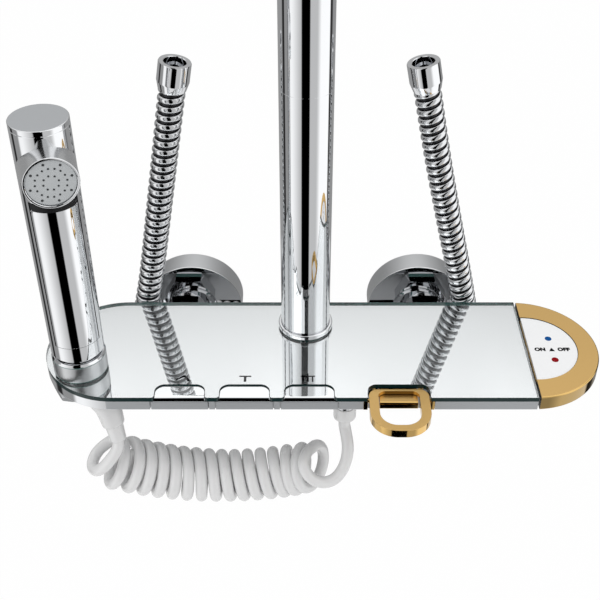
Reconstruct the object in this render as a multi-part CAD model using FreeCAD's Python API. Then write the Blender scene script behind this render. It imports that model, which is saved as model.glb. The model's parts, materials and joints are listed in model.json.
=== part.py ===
"""Wall-mounted shower mixer with a mirror shelf, press keys, a hand spray on a coiled
hose, a riser and two flexible metal hoses.

All sizes are millimetres. The origin lies on the wall face, midway between the two
inlets. +X runs to the right along the wall, +Y into the wall and +Z up.
"""
import FreeCAD
import Part
import math
import os

Vector = FreeCAD.Vector

# Wall connection
INLET_SPACING = 150.0
THREAD_DIAMETER = 20.9
THREAD_LENGTH = 15.0
FLANGE_DIAMETER = 65.0
FLANGE_DEPTH = 15.5
FLANGE_WALL = 1.4
FLANGE_EDGE = 0.6
DISC_DIAMETER = 31.0
DISC_PROUD = 3.0
DISC_INSET = 1.5
UNION_OFFSET = 4.0
STUB_DIAMETER = 26.0
STUB_LENGTH = 8.5
INLET_BORE = 14.0
NUT_FLATS = 30.0
NUT_LENGTH = 13.0
NUT_LIP = 3.0
WASHER_THICKNESS = 2.0
COLLAR_THICKNESS = 1.8
TAIL_DIAMETER = 20.0

# Mirror shelf
SHELF_TOP = 21.0
SHELF_BACK = -38.0
SHELF_DEPTH = 90.0
SHELF_LEFT = -157.5
SHELF_RIGHT = 134.3
GLASS_THICKNESS = 3.0
TRAY_HEIGHT = 6.5
TRAY_DECK = 1.6
TRAY_SKIRT = 2.4
BOSS_WALL = 3.0
TRAY_EDGE = 0.5
GLASS_EDGE = 0.4

# Tray screws
SCREW_DIAMETER = 4.0
SCREW_HEAD = 7.4
SCREW_HEAD_HEIGHT = 1.2
SCREW_LENGTH = 16.0
SCREW_BACK_INSET = 14.0

# Press keys
KEY_COUNT = 3
KEY_FIRST_X = -73.2
KEY_PITCH = 37.6
KEY_WIDTH = 33.0
KEY_GAP = 0.6
KEY_DROP = 0.25
KEY_PLATE = 3.0
KEY_LIP = 4.0
KEY_EDGE = 1.6
KEY_SIDE_EDGE = 0.5
KEY_PIVOT_CLEAR = 11.5
KEY_BARREL = 6.0
KEY_SHAFT = 3.0
KEY_SHAFT_GRIP = 2.5
NOTCH_DEPTH = 11.5
NOTCH_HALF_FRONT = 14.6
NOTCH_HALF_BACK = 9.5
NOTCH_FLARE = 1.9
NOTCH_STRAIGHT = 5.2
PLUNGER_ARM = 13.0
PLUNGER_DIAMETER = 6.0
PLUNGER_HEAD = 9.0
PLUNGER_HEAD_HEIGHT = 1.2
PLUNGER_REACH = 12.0
PLUNGER_CLEAR = 0.3

# Ring key
RING_X = 54.0
RING_WIDTH = 35.0
RING_BACK_INSET = 9.8
RING_LENGTH = 34.4
RING_SIDE = 5.6
RING_BACK_BAR = 1.8
RING_FRONT_BAR = 4.8
RING_BACK_RADIUS = 6.0
RING_FRONT_FLAT = 4.0
RING_TOP = 18.9
RING_THICKNESS = 5.2
RING_BAR_THICKNESS = 2.4
RING_EDGE = 0.8
RING_AXIS_INSET = 3.5
RING_AXIS_Z = 15.4
RING_PIN = 2.4
RING_PIN_GRIP = 3.0
LUG_WIDTH = 2.6
LUG_DEPTH = 7.0
RING_KEY_WIDTH = 22.4
RING_KEY_TOP = 16.0
RING_KEY_PLATE = 2.6
RING_KEY_INSET = 0.8
RING_NOTCH_DEPTH = 11.4
RING_NOTCH_HALF_BACK = 12.6
RING_NOTCH_FLARE = 0.7
RING_NOTCH_STRAIGHT = 6.2

# Valve body under the shelf
BODY_TOP_GAP = 0.5
REAR_BAR_END = 10.0
REAR_BAR_BACK_INSET = 6.0
REAR_BAR_DEPTH = 26.0
REAR_BAR_BOTTOM = -16.0
FRONT_BAR_LEFT = -92.0
FRONT_BAR_RIGHT = 76.0
FRONT_BAR_WALL = 4.0
FRONT_BAR_BOTTOM = -8.0
BODY_EDGE = 1.5
GALLERY_BORE = 12.0
GALLERY_BACK_INSET = 20.0
GALLERY_Z = -3.0

# Riser
RISER_BACK_INSET = 21.5
RISER_DIAMETER = 30.0
RISER_WALL = 1.5
RISER_SEAM = 182.5
RISER_TOP = 246.0
RISER_COLLAR_DIAMETER = 33.6
RISER_COLLAR_HEIGHT = 2.6
RISER_COLLAR_EDGE = 0.8
SOCKET_HEIGHT = 22.0
SOCKET_THREAD = 18.0
SOCKET_THREAD_LENGTH = 7.0
SOCKET_WALL = 3.0
SLEEVE_LENGTH = 40.0
SLEEVE_WALL = 2.0
SEAM_EDGE = 0.25
RISER_SEAT = 27.6
RISER_SEAT_DEPTH = 15.0

# Lever
LEVER_GAP = 1.4
LEVER_LENGTH = 42.3
LEVER_CENTRE_INSET = 2.7
LEVER_THICKNESS = 9.6
LEVER_EDGE = 0.9
INLAY_RADIUS = 29.0
INLAY_INSET = 0.4
INLAY_THICKNESS = 2.0
INLAY_RECESS = 0.35
INLAY_CENTRE_INSET = 0.8
CARTRIDGE_Z = -4.0
CARTRIDGE_DIAMETER = 25.0
CARTRIDGE_LENGTH = 28.0
CARTRIDGE_WALL = 3.0
CARTRIDGE_END_INSET = 8.3
CARTRIDGE_NUT_LENGTH = 6.0
CARTRIDGE_NUT_DIAMETER = 30.0
STEM_DIAMETER = 8.0
STEM_LENGTH = 14.0
HUB_WIDTH = 16.0
HUB_DEPTH = 6.0
HUB_GAP = 0.6
HUB_WALL = 3.0
LIFT_AXIS_INSET = 3.5
LIFT_AXIS_Z = 15.2
LIFT_PIN = 2.4
LIFT_PIN_GRIP = 4.0
POCKET_LENGTH = 9.0
POCKET_TOP = 18.2
POCKET_GAP = 0.4

# Hand spray and its dock
DOCK_SIDE_INSET = 23.5
DOCK_INSET = 28.0
DOCK_DIAMETER = 33.6
DOCK_HEIGHT = 13.0
DOCK_LIP = 2.0
DOCK_RECESS = 4.0
DOCK_BORE = 24.6
DOCK_THREAD = 27.6
DOCK_TAIL = 17.0
DOCK_NUT_FLATS = 34.0
DOCK_NUT_HEIGHT = 4.5
LINER_WALL = 0.9
HANDSET_DIAMETER = 31.0
HANDSET_WALL = 2.0
HANDSET_BOTTOM = 41.5
HANDSET_TOP = 185.0
CAP_THICKNESS = 3.0
CAP_EDGE = 0.5
HEAD_Z = 161.5
HEAD_AZIMUTH = 18.0
HEAD_ROOT_DIAMETER = 30.0
HEAD_DIAMETER = 28.5
HEAD_REACH = 26.0
HEAD_WALL = 1.3
HEAD_RECESS = 0.9
HEAD_EDGE = 0.6
FACE_THICKNESS = 2.0
NOZZLE_DIAMETER = 1.0
NOZZLE_DEPTH = 0.8
NOZZLE_COUNTS = (8, 16, 8)
NOZZLE_RADII = (4.0, 8.0, 10.8)
NOZZLE_ANGLES = (0.0, 11.25, 8.0)
TRIGGER_TOP = 143.0
TRIGGER_BOTTOM = 47.0
TRIGGER_HALF_WIDTH = 12.1
TRIGGER_GAP = 0.35
TRIGGER_WALL = 1.8
TRIGGER_SIDE_FLOOR = 5.0
TRIGGER_AXIS_Z = 138.0
TRIGGER_AXIS_REACH = 9.6
TRIGGER_PIN = 2.4
TRIGGER_BARREL = 5.0
NECK_DIAMETER = 26.6
NECK_EDGE = 2.0
TAIL_END = 2.0
TAIL_BORE = 10.0

# Coiled hose
COIL_TUBE = 7.6
COIL_RADIUS = 13.4
COIL_TURNS = 16
COIL_START_TURN = 0.5
COIL_END_TURN = 16.25
COIL_PITCH = 8.75
COIL_LOOSE_TURNS = 2.2
COIL_LOOSE_STEP = 3.0
COIL_AXIS_RADIUS = 200.0
COIL_MIDDLE_X = -54.0
COIL_END_X = 7.0
COIL_INSET = 32.0
COIL_MIDDLE_Z = -78.5
COIL_SAMPLES = 24
HOSE_IN_POINTS = (
    ((12.5, -17.5, -61.5), (-0.6, -0.28, -0.75)),
    ((-4.2, -8.5, -74.5), (-0.42, 0.88, -0.22)),
)
HOSE_OUT_POINTS = (
    ((-7.2, -16.6, -48.9), (0.98, 0.12, 0.0)),
    ((2.6, -12.6, -38.1), (0.26, 0.3, 0.92)),
    ((3.2, -5.0, -20.5), (-0.14, 0.26, 0.95)),
)
GUARD_TILT = 23.0
GUARD_LEAN = 16.0
GUARD_COLLAR = 16.4
GUARD_STEP = 13.2
GUARD_NECK = 10.8
GUARD_TIP = 9.4
GUARD_COLLAR_LENGTH = 22.0
GUARD_NECK_LENGTH = 13.0
OUTLET_X = 24.8
OUTLET_INSET = 36.0
OUTLET_DIAMETER = 13.0
OUTLET_BORE = 6.0
OUTLET_LENGTH = 10.0
OUTLET_THREAD = 9.0
COIL_NUT_DIAMETER = 14.4
COIL_NUT_LENGTH = 10.5
COIL_NUT_EDGE = 1.2

# Metal hoses
HOSE_DIAMETER = 16.0
HOSE_ROOT = 14.2
HOSE_BORE = 9.0
HOSE_RIB_PITCH = 5.6
HOSE_RIB_SHARES = (0.0, 0.2, 0.6, 0.8)
HOSE_BEHIND = 12.0
HOSE_LEFT_POINTS = ((-33.0, -14.0), (-28.6, 11.0), (-20.8, 53.7), (-13.0, 98.0), (-2.6, 157.0))
HOSE_RIGHT_POINTS = ((33.0, -14.0), (29.6, 11.0), (20.1, 53.7), (8.0, 98.0), (-4.4, 157.0))
OUTLET_SIDE = 33.0
ELBOW_DIAMETER = 18.0
ELBOW_DROP = 22.0
ELBOW_BORE = 9.0
ELBOW_THREAD = 15.6
ELBOW_THREAD_LENGTH = 9.0
HOSE_NUT_FLATS = 21.0
HOSE_NUT_LENGTH = 14.0
TOP_NUT_DIAMETER = 19.0
TOP_NUT_LENGTH = 17.0
TOP_NUT_TAPER = 5.0
TOP_NUT_BORE = 13.0
TOP_NUT_BORE_DEPTH = 10.0

# Fits
RUNNING_GAP = 0.05
FIT_GAP = 0.1
HOLE_GAP = 0.3
OVERRUN = 1.0
NEAR_STRAIGHT = 1e-7

# Derived places
SHELF_FRONT = SHELF_BACK - SHELF_DEPTH
SHELF_RADIUS = SHELF_DEPTH / 2
SHELF_MIDDLE = SHELF_BACK - SHELF_RADIUS
RISER_Y = SHELF_BACK - RISER_BACK_INSET
KEY_PIVOT_Y = RISER_Y - RISER_DIAMETER / 2 - KEY_PIVOT_CLEAR
PLUNGER_Y = KEY_PIVOT_Y - PLUNGER_ARM
RING_BACK = SHELF_FRONT + RING_BACK_INSET
RING_FRONT_RADIUS = (RING_WIDTH - RING_FRONT_FLAT) / 2
RING_AXIS_Y = SHELF_FRONT + RING_AXIS_INSET
RING_KEY_FRONT = SHELF_FRONT + RING_KEY_INSET
FRONT_BAR_FRONT = PLUNGER_Y - PLUNGER_DIAMETER / 2 - FRONT_BAR_WALL
CARTRIDGE_Y = SHELF_MIDDLE
CARTRIDGE_END = SHELF_RIGHT - CARTRIDGE_END_INSET
DOCK_X = SHELF_LEFT + DOCK_SIDE_INSET
DOCK_Y = SHELF_FRONT + DOCK_INSET
COIL_Y = SHELF_FRONT + COIL_INSET
OUTLET_Y = SHELF_FRONT + OUTLET_INSET
REAR_BAR_BACK = SHELF_BACK - REAR_BAR_BACK_INSET
REAR_BAR_FRONT = REAR_BAR_BACK - REAR_BAR_DEPTH
GALLERY_Y = SHELF_BACK - GALLERY_BACK_INSET
SCREW_Y = SHELF_BACK - SCREW_BACK_INSET
HOSE_Y = SHELF_BACK + HOSE_BEHIND
OUTLET_SIDE_X = INLET_SPACING / 2 + OUTLET_SIDE
REAR_BAR_HALF = OUTLET_SIDE_X + REAR_BAR_END

# Derived levels
GLASS_BOTTOM = SHELF_TOP - GLASS_THICKNESS
TRAY_BOTTOM = GLASS_BOTTOM - TRAY_HEIGHT
DECK_BOTTOM = GLASS_BOTTOM - TRAY_DECK
BODY_TOP = TRAY_BOTTOM - BODY_TOP_GAP
KEY_TOP = GLASS_BOTTOM - KEY_DROP
KEY_BOTTOM = KEY_TOP - KEY_PLATE
SLOT_BACK = KEY_PIVOT_Y + KEY_BARREL / 2 + KEY_GAP
SHAFT_Z = BODY_TOP + HOLE_GAP + KEY_BARREL / 2
RISER_RADIUS = RISER_DIAMETER / 2
RISER_BORE = RISER_DIAMETER - 2 * RISER_WALL
HANDSET_RADIUS = HANDSET_DIAMETER / 2
DOCK_TOP = SHELF_TOP + DOCK_HEIGHT
LEVER_LEFT = SHELF_RIGHT + LEVER_GAP
LEVER_BOTTOM = SHELF_TOP - LEVER_THICKNESS
LIFT_AXIS_X = LEVER_LEFT + LIFT_AXIS_INSET
KEY_NAMES = ("key_left", "key_middle", "key_right")
PLUNGER_NAMES = ("plunger_left", "plunger_middle", "plunger_right")

X_AXIS = Vector(1, 0, 0)
Y_AXIS = Vector(0, 1, 0)
Z_AXIS = Vector(0, 0, 1)
NODES = {}


def block(x_low, x_high, y_low, y_high, z_low, z_high):
    """Box between two corners, given in any order."""
    low = Vector(min(x_low, x_high), min(y_low, y_high), min(z_low, z_high))
    return Part.makeBox(abs(x_high - x_low), abs(y_high - y_low), abs(z_high - z_low), low)


def rod(diameter, start, end):
    """Cylinder from one point to another."""
    axis = end - start
    return Part.makeCylinder(diameter / 2, axis.Length, start, axis)


def cone(first, last, start, end):
    """Cone frustum from one point to another, with its two diameters."""
    axis = end - start
    return Part.makeCone(first / 2, last / 2, axis.Length, start, axis)


def pipe(diameter, bore, start, end):
    """Straight tube from one point to another."""
    axis = (end - start).normalize()
    return rod(diameter, start, end).cut(rod(bore, start - axis * OVERRUN, end + axis * OVERRUN))


def hexagon(flats, start, end, turn=0.0):
    """Hexagonal prism with a flat facing +Z, or +Y on a vertical axis."""
    axis = end - start
    side = Vector(1, 0, 0) if abs(axis.x) < abs(axis.y) + abs(axis.z) else Vector(0, 1, 0)
    up = axis.cross(side).normalize()
    reach = flats / math.sqrt(3)
    corners = []
    for index in range(7):
        angle = math.radians(60 * index + turn)
        corners.append(start + side * (reach * math.cos(angle)) + up * (reach * math.sin(angle)))
    return Part.Face(Part.makePolygon(corners)).extrude(axis)


def chamfered_hexagon(flats, start, end):
    """Hexagonal prism with its corners turned round at both ends."""
    axis = end - start
    length = axis.Length
    reach = 2 * flats / math.sqrt(3)
    bevel = (reach - flats) / 2
    middle = start + axis * 0.5
    ends = []
    for point in (start, end):
        step = (middle - point).normalize()
        ends.append(cone(flats, flats + 2 * bevel, point, point + step * (bevel / 2)))
        ends.append(rod(reach, point + step * (bevel / 2), middle))
    envelope = ends[0].fuse(ends[1:]).removeSplitter()
    return hexagon(flats, start, end).common(envelope) if length > bevel else hexagon(flats, start, end)


def soften(solid, radius, chosen):
    """Round the edges that the test picks out."""
    edges = [edge for edge in solid.Edges if chosen(edge)]
    return solid.makeFillet(radius, edges) if edges else solid


def at_level(level):
    """Test for edges that lie wholly at one height."""
    def chosen(edge):
        box = edge.BoundBox
        return abs(box.ZMin - level) < FIT_GAP / 10 and abs(box.ZMax - level) < FIT_GAP / 10
    return chosen


def flat(points_and_arcs):
    """Closed wire from a list of points; a pair holds an arc's middle and its end."""
    edges = []
    here = points_and_arcs[0]
    for item in points_and_arcs[1:]:
        if isinstance(item, tuple):
            edges.append(Part.Arc(here, item[0], item[1]).toShape())
            here = item[1]
        else:
            edges.append(Part.makeLine(here, item))
            here = item
    return Part.Wire(edges)


def slab(wire, height):
    """Solid raised on a flat closed wire."""
    return Part.Face(wire).extrude(Vector(0, 0, height))


def shelf_slab(z_low, z_high, inset):
    """The shelf's outline, half round on the left, drawn in by an inset and raised."""
    radius = SHELF_RADIUS - inset
    centre = SHELF_LEFT + SHELF_RADIUS
    right = SHELF_RIGHT - inset
    wire = flat([
        Vector(centre, SHELF_MIDDLE - radius, z_low),
        Vector(right, SHELF_MIDDLE - radius, z_low),
        Vector(right, SHELF_MIDDLE + radius, z_low),
        Vector(centre, SHELF_MIDDLE + radius, z_low),
        (Vector(centre - radius, SHELF_MIDDLE, z_low), Vector(centre, SHELF_MIDDLE - radius, z_low)),
    ])
    return slab(wire, z_high - z_low)


def notch(centre, half_front, half_back, depth, straight, flare):
    """Cutter for a finger notch in the front edge of the glass."""
    z_low = GLASS_BOTTOM - OVERRUN
    front = SHELF_FRONT
    quarter = math.cos(math.radians(45))
    side = half_front - half_back
    rise = depth - straight

    def point(across, inward):
        return Vector(centre + across, front + inward, z_low)

    wire = flat([
        point(-half_front - flare, -OVERRUN),
        point(-half_front - flare, 0),
        (point(-half_front - flare * (1 - quarter), flare * (1 - quarter)), point(-half_front, flare)),
        point(-half_front, straight),
        (point(-half_back - side * quarter, straight + rise * quarter), point(-half_back, depth)),
        point(half_back, depth),
        (point(half_back + side * quarter, straight + rise * quarter), point(half_front, straight)),
        point(half_front, flare),
        (point(half_front + flare * (1 - quarter), flare * (1 - quarter)), point(half_front + flare, 0)),
        point(half_front + flare, -OVERRUN),
        point(-half_front - flare, -OVERRUN),
    ])
    return slab(wire, GLASS_THICKNESS + 2 * OVERRUN)


def key_centres():
    """Places of the three chrome keys along the front edge."""
    return [KEY_FIRST_X + KEY_PITCH * index for index in range(KEY_COUNT)]


def screw_places():
    """The two screws that hold the tray on the valve body."""
    reach = REAR_BAR_HALF - 2 * HUB_WIDTH
    return {"tray_screw_left": -reach, "tray_screw_right": reach}


def wall_connections():
    """Flanges, eccentric unions, union nuts and washers, left and right."""
    for side, name in ((-1, "left"), (1, "right")):
        inlet = side * INLET_SPACING / 2
        mouth = side * (INLET_SPACING / 2 + UNION_OFFSET)
        face = -FLANGE_DEPTH
        outer = rod(FLANGE_DIAMETER, Vector(inlet, face, 0), Vector(inlet, 0, 0))
        outer = soften(outer, FLANGE_EDGE, lambda edge: abs(edge.CenterOfMass.y - face) < FIT_GAP
                       and edge.Curve.TypeId == "Part::GeomCircle")
        inner = rod(FLANGE_DIAMETER - 2 * FLANGE_WALL,
                    Vector(inlet, face + FLANGE_WALL, 0), Vector(inlet, OVERRUN, 0))
        hole = rod(DISC_DIAMETER + 2 * FIT_GAP, Vector(inlet, face - OVERRUN, 0), Vector(inlet, 0, 0))
        NODES[name + "_wall_flange"] = outer.cut([inner, hole])

        disc_front = face - DISC_PROUD
        stub_end = disc_front - STUB_LENGTH
        disc = rod(DISC_DIAMETER, Vector(inlet, disc_front, 0), Vector(inlet, -DISC_INSET, 0))
        thread = rod(THREAD_DIAMETER, Vector(inlet, -DISC_INSET, 0), Vector(inlet, THREAD_LENGTH, 0))
        stub = rod(STUB_DIAMETER, Vector(mouth, stub_end, 0), Vector(mouth, disc_front, 0))
        joined = disc.fuse([thread, stub]).removeSplitter()
        middle = (disc_front - DISC_INSET) / 2
        joined = joined.cut(rod(INLET_BORE, Vector(mouth, stub_end - OVERRUN, 0), Vector(mouth, middle, 0)))
        joined = joined.cut(rod(INLET_BORE, Vector(inlet, middle - INLET_BORE / 2, 0),
                                Vector(inlet, THREAD_LENGTH + OVERRUN, 0)))
        NODES[name + "_eccentric_union"] = joined

        washer_end = stub_end - WASHER_THICKNESS
        NODES[name + "_inlet_washer"] = pipe(
            STUB_DIAMETER - 2 * FIT_GAP, INLET_BORE, Vector(mouth, washer_end, 0), Vector(mouth, stub_end, 0))

        collar_end = washer_end - COLLAR_THICKNESS
        nut_front = collar_end - NUT_LIP
        nut = chamfered_hexagon(NUT_FLATS, Vector(mouth, nut_front + NUT_LENGTH, 0),
                                Vector(mouth, nut_front, 0))
        nut = nut.cut([
            rod(STUB_DIAMETER + 2 * FIT_GAP, Vector(mouth, collar_end, 0), Vector(mouth, 0, 0)),
            rod(TAIL_DIAMETER + 2 * FIT_GAP, Vector(mouth, nut_front - OVERRUN, 0), Vector(mouth, 0, 0)),
        ])
        NODES[name + "_union_nut"] = nut


def inlet_tail(side):
    """The body's inlet pipe with the collar that the union nut pulls on."""
    mouth = side * (INLET_SPACING / 2 + UNION_OFFSET)
    collar_back = -FLANGE_DEPTH - DISC_PROUD - STUB_LENGTH - WASHER_THICKNESS
    collar = rod(STUB_DIAMETER - 2 * FIT_GAP, Vector(mouth, collar_back - COLLAR_THICKNESS, 0),
                 Vector(mouth, collar_back, 0))
    tail = rod(TAIL_DIAMETER, Vector(mouth, REAR_BAR_BACK - OVERRUN, 0), Vector(mouth, collar_back, 0))
    return collar.fuse(tail), rod(INLET_BORE, Vector(mouth, GALLERY_Y, 0), Vector(mouth, 0, 0))


def valve_body():
    """Brass body: rear bar, front bar for the key valves and the cartridge barrel."""
    rear = block(-REAR_BAR_HALF, REAR_BAR_HALF, REAR_BAR_FRONT, REAR_BAR_BACK, REAR_BAR_BOTTOM, BODY_TOP)
    front = block(FRONT_BAR_LEFT, FRONT_BAR_RIGHT, FRONT_BAR_FRONT, REAR_BAR_FRONT + OVERRUN,
                  FRONT_BAR_BOTTOM, BODY_TOP)
    barrel_diameter = CARTRIDGE_DIAMETER + 2 * CARTRIDGE_WALL
    barrel_start = FRONT_BAR_RIGHT - OVERRUN
    barrel = rod(barrel_diameter, Vector(barrel_start, CARTRIDGE_Y, CARTRIDGE_Z),
                 Vector(CARTRIDGE_END, CARTRIDGE_Y, CARTRIDGE_Z))
    barrel = barrel.common(block(barrel_start, CARTRIDGE_END, FRONT_BAR_FRONT, REAR_BAR_BACK,
                                 REAR_BAR_BOTTOM * 2, BODY_TOP))
    body = rear.fuse([front, barrel])
    cuts = []
    for side in (-1, 1):
        tail, bore = inlet_tail(side)
        body = body.fuse(tail)
        cuts.append(bore)
        cuts.append(rod(ELBOW_BORE, Vector(side * OUTLET_SIDE_X, GALLERY_Y, REAR_BAR_BOTTOM - OVERRUN),
                        Vector(side * OUTLET_SIDE_X, GALLERY_Y, GALLERY_Z)))
    body = body.removeSplitter()
    cuts.append(rod(GALLERY_BORE, Vector(-OUTLET_SIDE_X, GALLERY_Y, GALLERY_Z),
                    Vector(OUTLET_SIDE_X, GALLERY_Y, GALLERY_Z)))
    cuts.append(rod(CARTRIDGE_DIAMETER + 2 * FIT_GAP,
                    Vector(CARTRIDGE_END - CARTRIDGE_LENGTH, CARTRIDGE_Y, CARTRIDGE_Z),
                    Vector(CARTRIDGE_END + OVERRUN, CARTRIDGE_Y, CARTRIDGE_Z)))
    cuts.append(rod(SOCKET_THREAD + 2 * FIT_GAP, Vector(0, RISER_Y, BODY_TOP - SOCKET_THREAD_LENGTH),
                    Vector(0, RISER_Y, BODY_TOP + OVERRUN)))
    cuts.append(rod(SOCKET_THREAD - 2 * SOCKET_WALL, Vector(0, RISER_Y, GALLERY_Z),
                    Vector(0, RISER_Y, BODY_TOP)))
    cuts.append(rod(OUTLET_THREAD + 2 * FIT_GAP, Vector(OUTLET_X, OUTLET_Y, FRONT_BAR_BOTTOM - OVERRUN),
                    Vector(OUTLET_X, OUTLET_Y, FRONT_BAR_BOTTOM + OUTLET_THREAD)))
    for centre in key_centres() + [RING_X]:
        cuts.append(rod(PLUNGER_DIAMETER + 2 * RUNNING_GAP,
                        Vector(centre, PLUNGER_Y, FRONT_BAR_BOTTOM + BODY_EDGE),
                        Vector(centre, PLUNGER_Y, BODY_TOP + OVERRUN)))
    for x in screw_places().values():
        cuts.append(rod(SCREW_DIAMETER + 2 * FIT_GAP,
                        Vector(x, SCREW_Y, GLASS_BOTTOM - SCREW_LENGTH - FIT_GAP),
                        Vector(x, SCREW_Y, BODY_TOP + OVERRUN)))
    cuts.append(rod(CARTRIDGE_NUT_DIAMETER + 2 * HOLE_GAP, Vector(CARTRIDGE_END, CARTRIDGE_Y, CARTRIDGE_Z),
                    Vector(LEVER_LEFT, CARTRIDGE_Y, CARTRIDGE_Z)))
    NODES["valve_body"] = body.cut(cuts)


def shelf():
    """Chrome tray with its skirt, slots and bosses, and the mirror glass on it."""
    tray = shelf_slab(TRAY_BOTTOM, GLASS_BOTTOM, 0)
    tray = soften(tray, TRAY_EDGE, at_level(TRAY_BOTTOM))
    hollow = shelf_slab(TRAY_BOTTOM - OVERRUN, DECK_BOTTOM, TRAY_SKIRT)
    posts = []
    slots = []
    for centre in key_centres():
        half = KEY_WIDTH / 2 + KEY_GAP
        slots.append(block(centre - half, centre + half, SHELF_FRONT - OVERRUN, SLOT_BACK,
                           TRAY_BOTTOM - OVERRUN, GLASS_BOTTOM + OVERRUN))
    first = key_centres()[0] - KEY_WIDTH / 2 - KEY_GAP
    last = key_centres()[-1] + KEY_WIDTH / 2 + KEY_GAP
    posts.append(block(first - BOSS_WALL, last + BOSS_WALL, SHELF_FRONT + TRAY_EDGE, SLOT_BACK + TRAY_SKIRT,
                       TRAY_BOTTOM, DECK_BOTTOM + OVERRUN))
    ring_half = RING_WIDTH / 2 + KEY_GAP
    key_half = RING_KEY_WIDTH / 2 + KEY_GAP
    posts.append(block(RING_X - ring_half - LUG_WIDTH - BOSS_WALL, RING_X + ring_half + LUG_WIDTH + BOSS_WALL,
                       SHELF_FRONT + TRAY_EDGE, SLOT_BACK + TRAY_SKIRT, TRAY_BOTTOM, DECK_BOTTOM + OVERRUN))
    slots.append(block(RING_X - ring_half, RING_X + ring_half, SHELF_FRONT - OVERRUN,
                       SHELF_FRONT + RING_NOTCH_DEPTH + KEY_GAP, TRAY_BOTTOM - OVERRUN,
                       GLASS_BOTTOM + OVERRUN))
    slots.append(block(RING_X - key_half, RING_X + key_half, SHELF_FRONT - OVERRUN, SLOT_BACK,
                       TRAY_BOTTOM - OVERRUN, GLASS_BOTTOM + OVERRUN))
    for side in (-1, 1):
        inner = RING_X + side * ring_half
        slots.append(block(inner - side * OVERRUN, inner + side * LUG_WIDTH, SHELF_FRONT - OVERRUN,
                           SHELF_FRONT + LUG_DEPTH, TRAY_BOTTOM - OVERRUN, GLASS_BOTTOM + OVERRUN))
    holes = []
    for x in screw_places().values():
        posts.append(rod(SCREW_HEAD + 2 * BOSS_WALL, Vector(x, SCREW_Y, BODY_TOP),
                         Vector(x, SCREW_Y, DECK_BOTTOM + OVERRUN)))
        holes.append(rod(SCREW_DIAMETER + 2 * FIT_GAP, Vector(x, SCREW_Y, BODY_TOP - OVERRUN),
                         Vector(x, SCREW_Y, GLASS_BOTTOM + OVERRUN)))
        holes.append(rod(SCREW_HEAD + 2 * FIT_GAP,
                         Vector(x, SCREW_Y, GLASS_BOTTOM - SCREW_HEAD_HEIGHT - FIT_GAP),
                         Vector(x, SCREW_Y, GLASS_BOTTOM + OVERRUN)))
    posts.append(rod(RISER_DIAMETER + 2 * BOSS_WALL, Vector(0, RISER_Y, BODY_TOP),
                     Vector(0, RISER_Y, DECK_BOTTOM + OVERRUN)))
    holes.append(rod(RISER_DIAMETER + 2 * HOLE_GAP, Vector(0, RISER_Y, BODY_TOP - OVERRUN),
                     Vector(0, RISER_Y, GLASS_BOTTOM + OVERRUN)))
    posts.append(rod(DOCK_NUT_FLATS - BOSS_WALL, Vector(DOCK_X, DOCK_Y, TRAY_BOTTOM),
                     Vector(DOCK_X, DOCK_Y, DECK_BOTTOM + OVERRUN)))
    holes.append(rod(DOCK_THREAD + 2 * FIT_GAP, Vector(DOCK_X, DOCK_Y, TRAY_BOTTOM - OVERRUN),
                     Vector(DOCK_X, DOCK_Y, GLASS_BOTTOM + OVERRUN)))
    holes.append(rod(KEY_SHAFT + 2 * FIT_GAP, Vector(first - KEY_SHAFT_GRIP, KEY_PIVOT_Y, SHAFT_Z),
                     Vector(last + KEY_SHAFT_GRIP, KEY_PIVOT_Y, SHAFT_Z)))
    holes.append(rod(KEY_SHAFT + 2 * FIT_GAP,
                     Vector(RING_X - key_half - KEY_SHAFT_GRIP, KEY_PIVOT_Y, SHAFT_Z),
                     Vector(RING_X + key_half + KEY_SHAFT_GRIP, KEY_PIVOT_Y, SHAFT_Z)))
    NODES["shelf_tray"] = tray.cut(hollow).fuse(posts).cut(slots + holes).removeSplitter()

    glass = soften(shelf_slab(GLASS_BOTTOM, SHELF_TOP, 0), GLASS_EDGE, at_level(SHELF_TOP))
    cutters = [notch(centre, NOTCH_HALF_FRONT, NOTCH_HALF_BACK, NOTCH_DEPTH, NOTCH_STRAIGHT, NOTCH_FLARE)
               for centre in key_centres()]
    cutters.append(notch(RING_X, RING_WIDTH / 2 + KEY_GAP, RING_NOTCH_HALF_BACK, RING_NOTCH_DEPTH,
                         RING_NOTCH_STRAIGHT, RING_NOTCH_FLARE))
    cutters.append(rod(RISER_DIAMETER + 2 * HOLE_GAP, Vector(0, RISER_Y, GLASS_BOTTOM - OVERRUN),
                       Vector(0, RISER_Y, SHELF_TOP + OVERRUN)))
    cutters.append(rod(DOCK_THREAD + 2 * HOLE_GAP, Vector(DOCK_X, DOCK_Y, GLASS_BOTTOM - OVERRUN),
                       Vector(DOCK_X, DOCK_Y, SHELF_TOP + OVERRUN)))
    NODES["mirror_glass"] = glass.cut(cutters).removeSplitter()
    for name, x in screw_places().items():
        head = rod(SCREW_HEAD, Vector(x, SCREW_Y, GLASS_BOTTOM - SCREW_HEAD_HEIGHT),
                   Vector(x, SCREW_Y, GLASS_BOTTOM - FIT_GAP))
        shank = rod(SCREW_DIAMETER, Vector(x, SCREW_Y, GLASS_BOTTOM - SCREW_LENGTH),
                    Vector(x, SCREW_Y, GLASS_BOTTOM - SCREW_HEAD_HEIGHT))
        NODES[name] = head.fuse(shank).removeSplitter()


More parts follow.
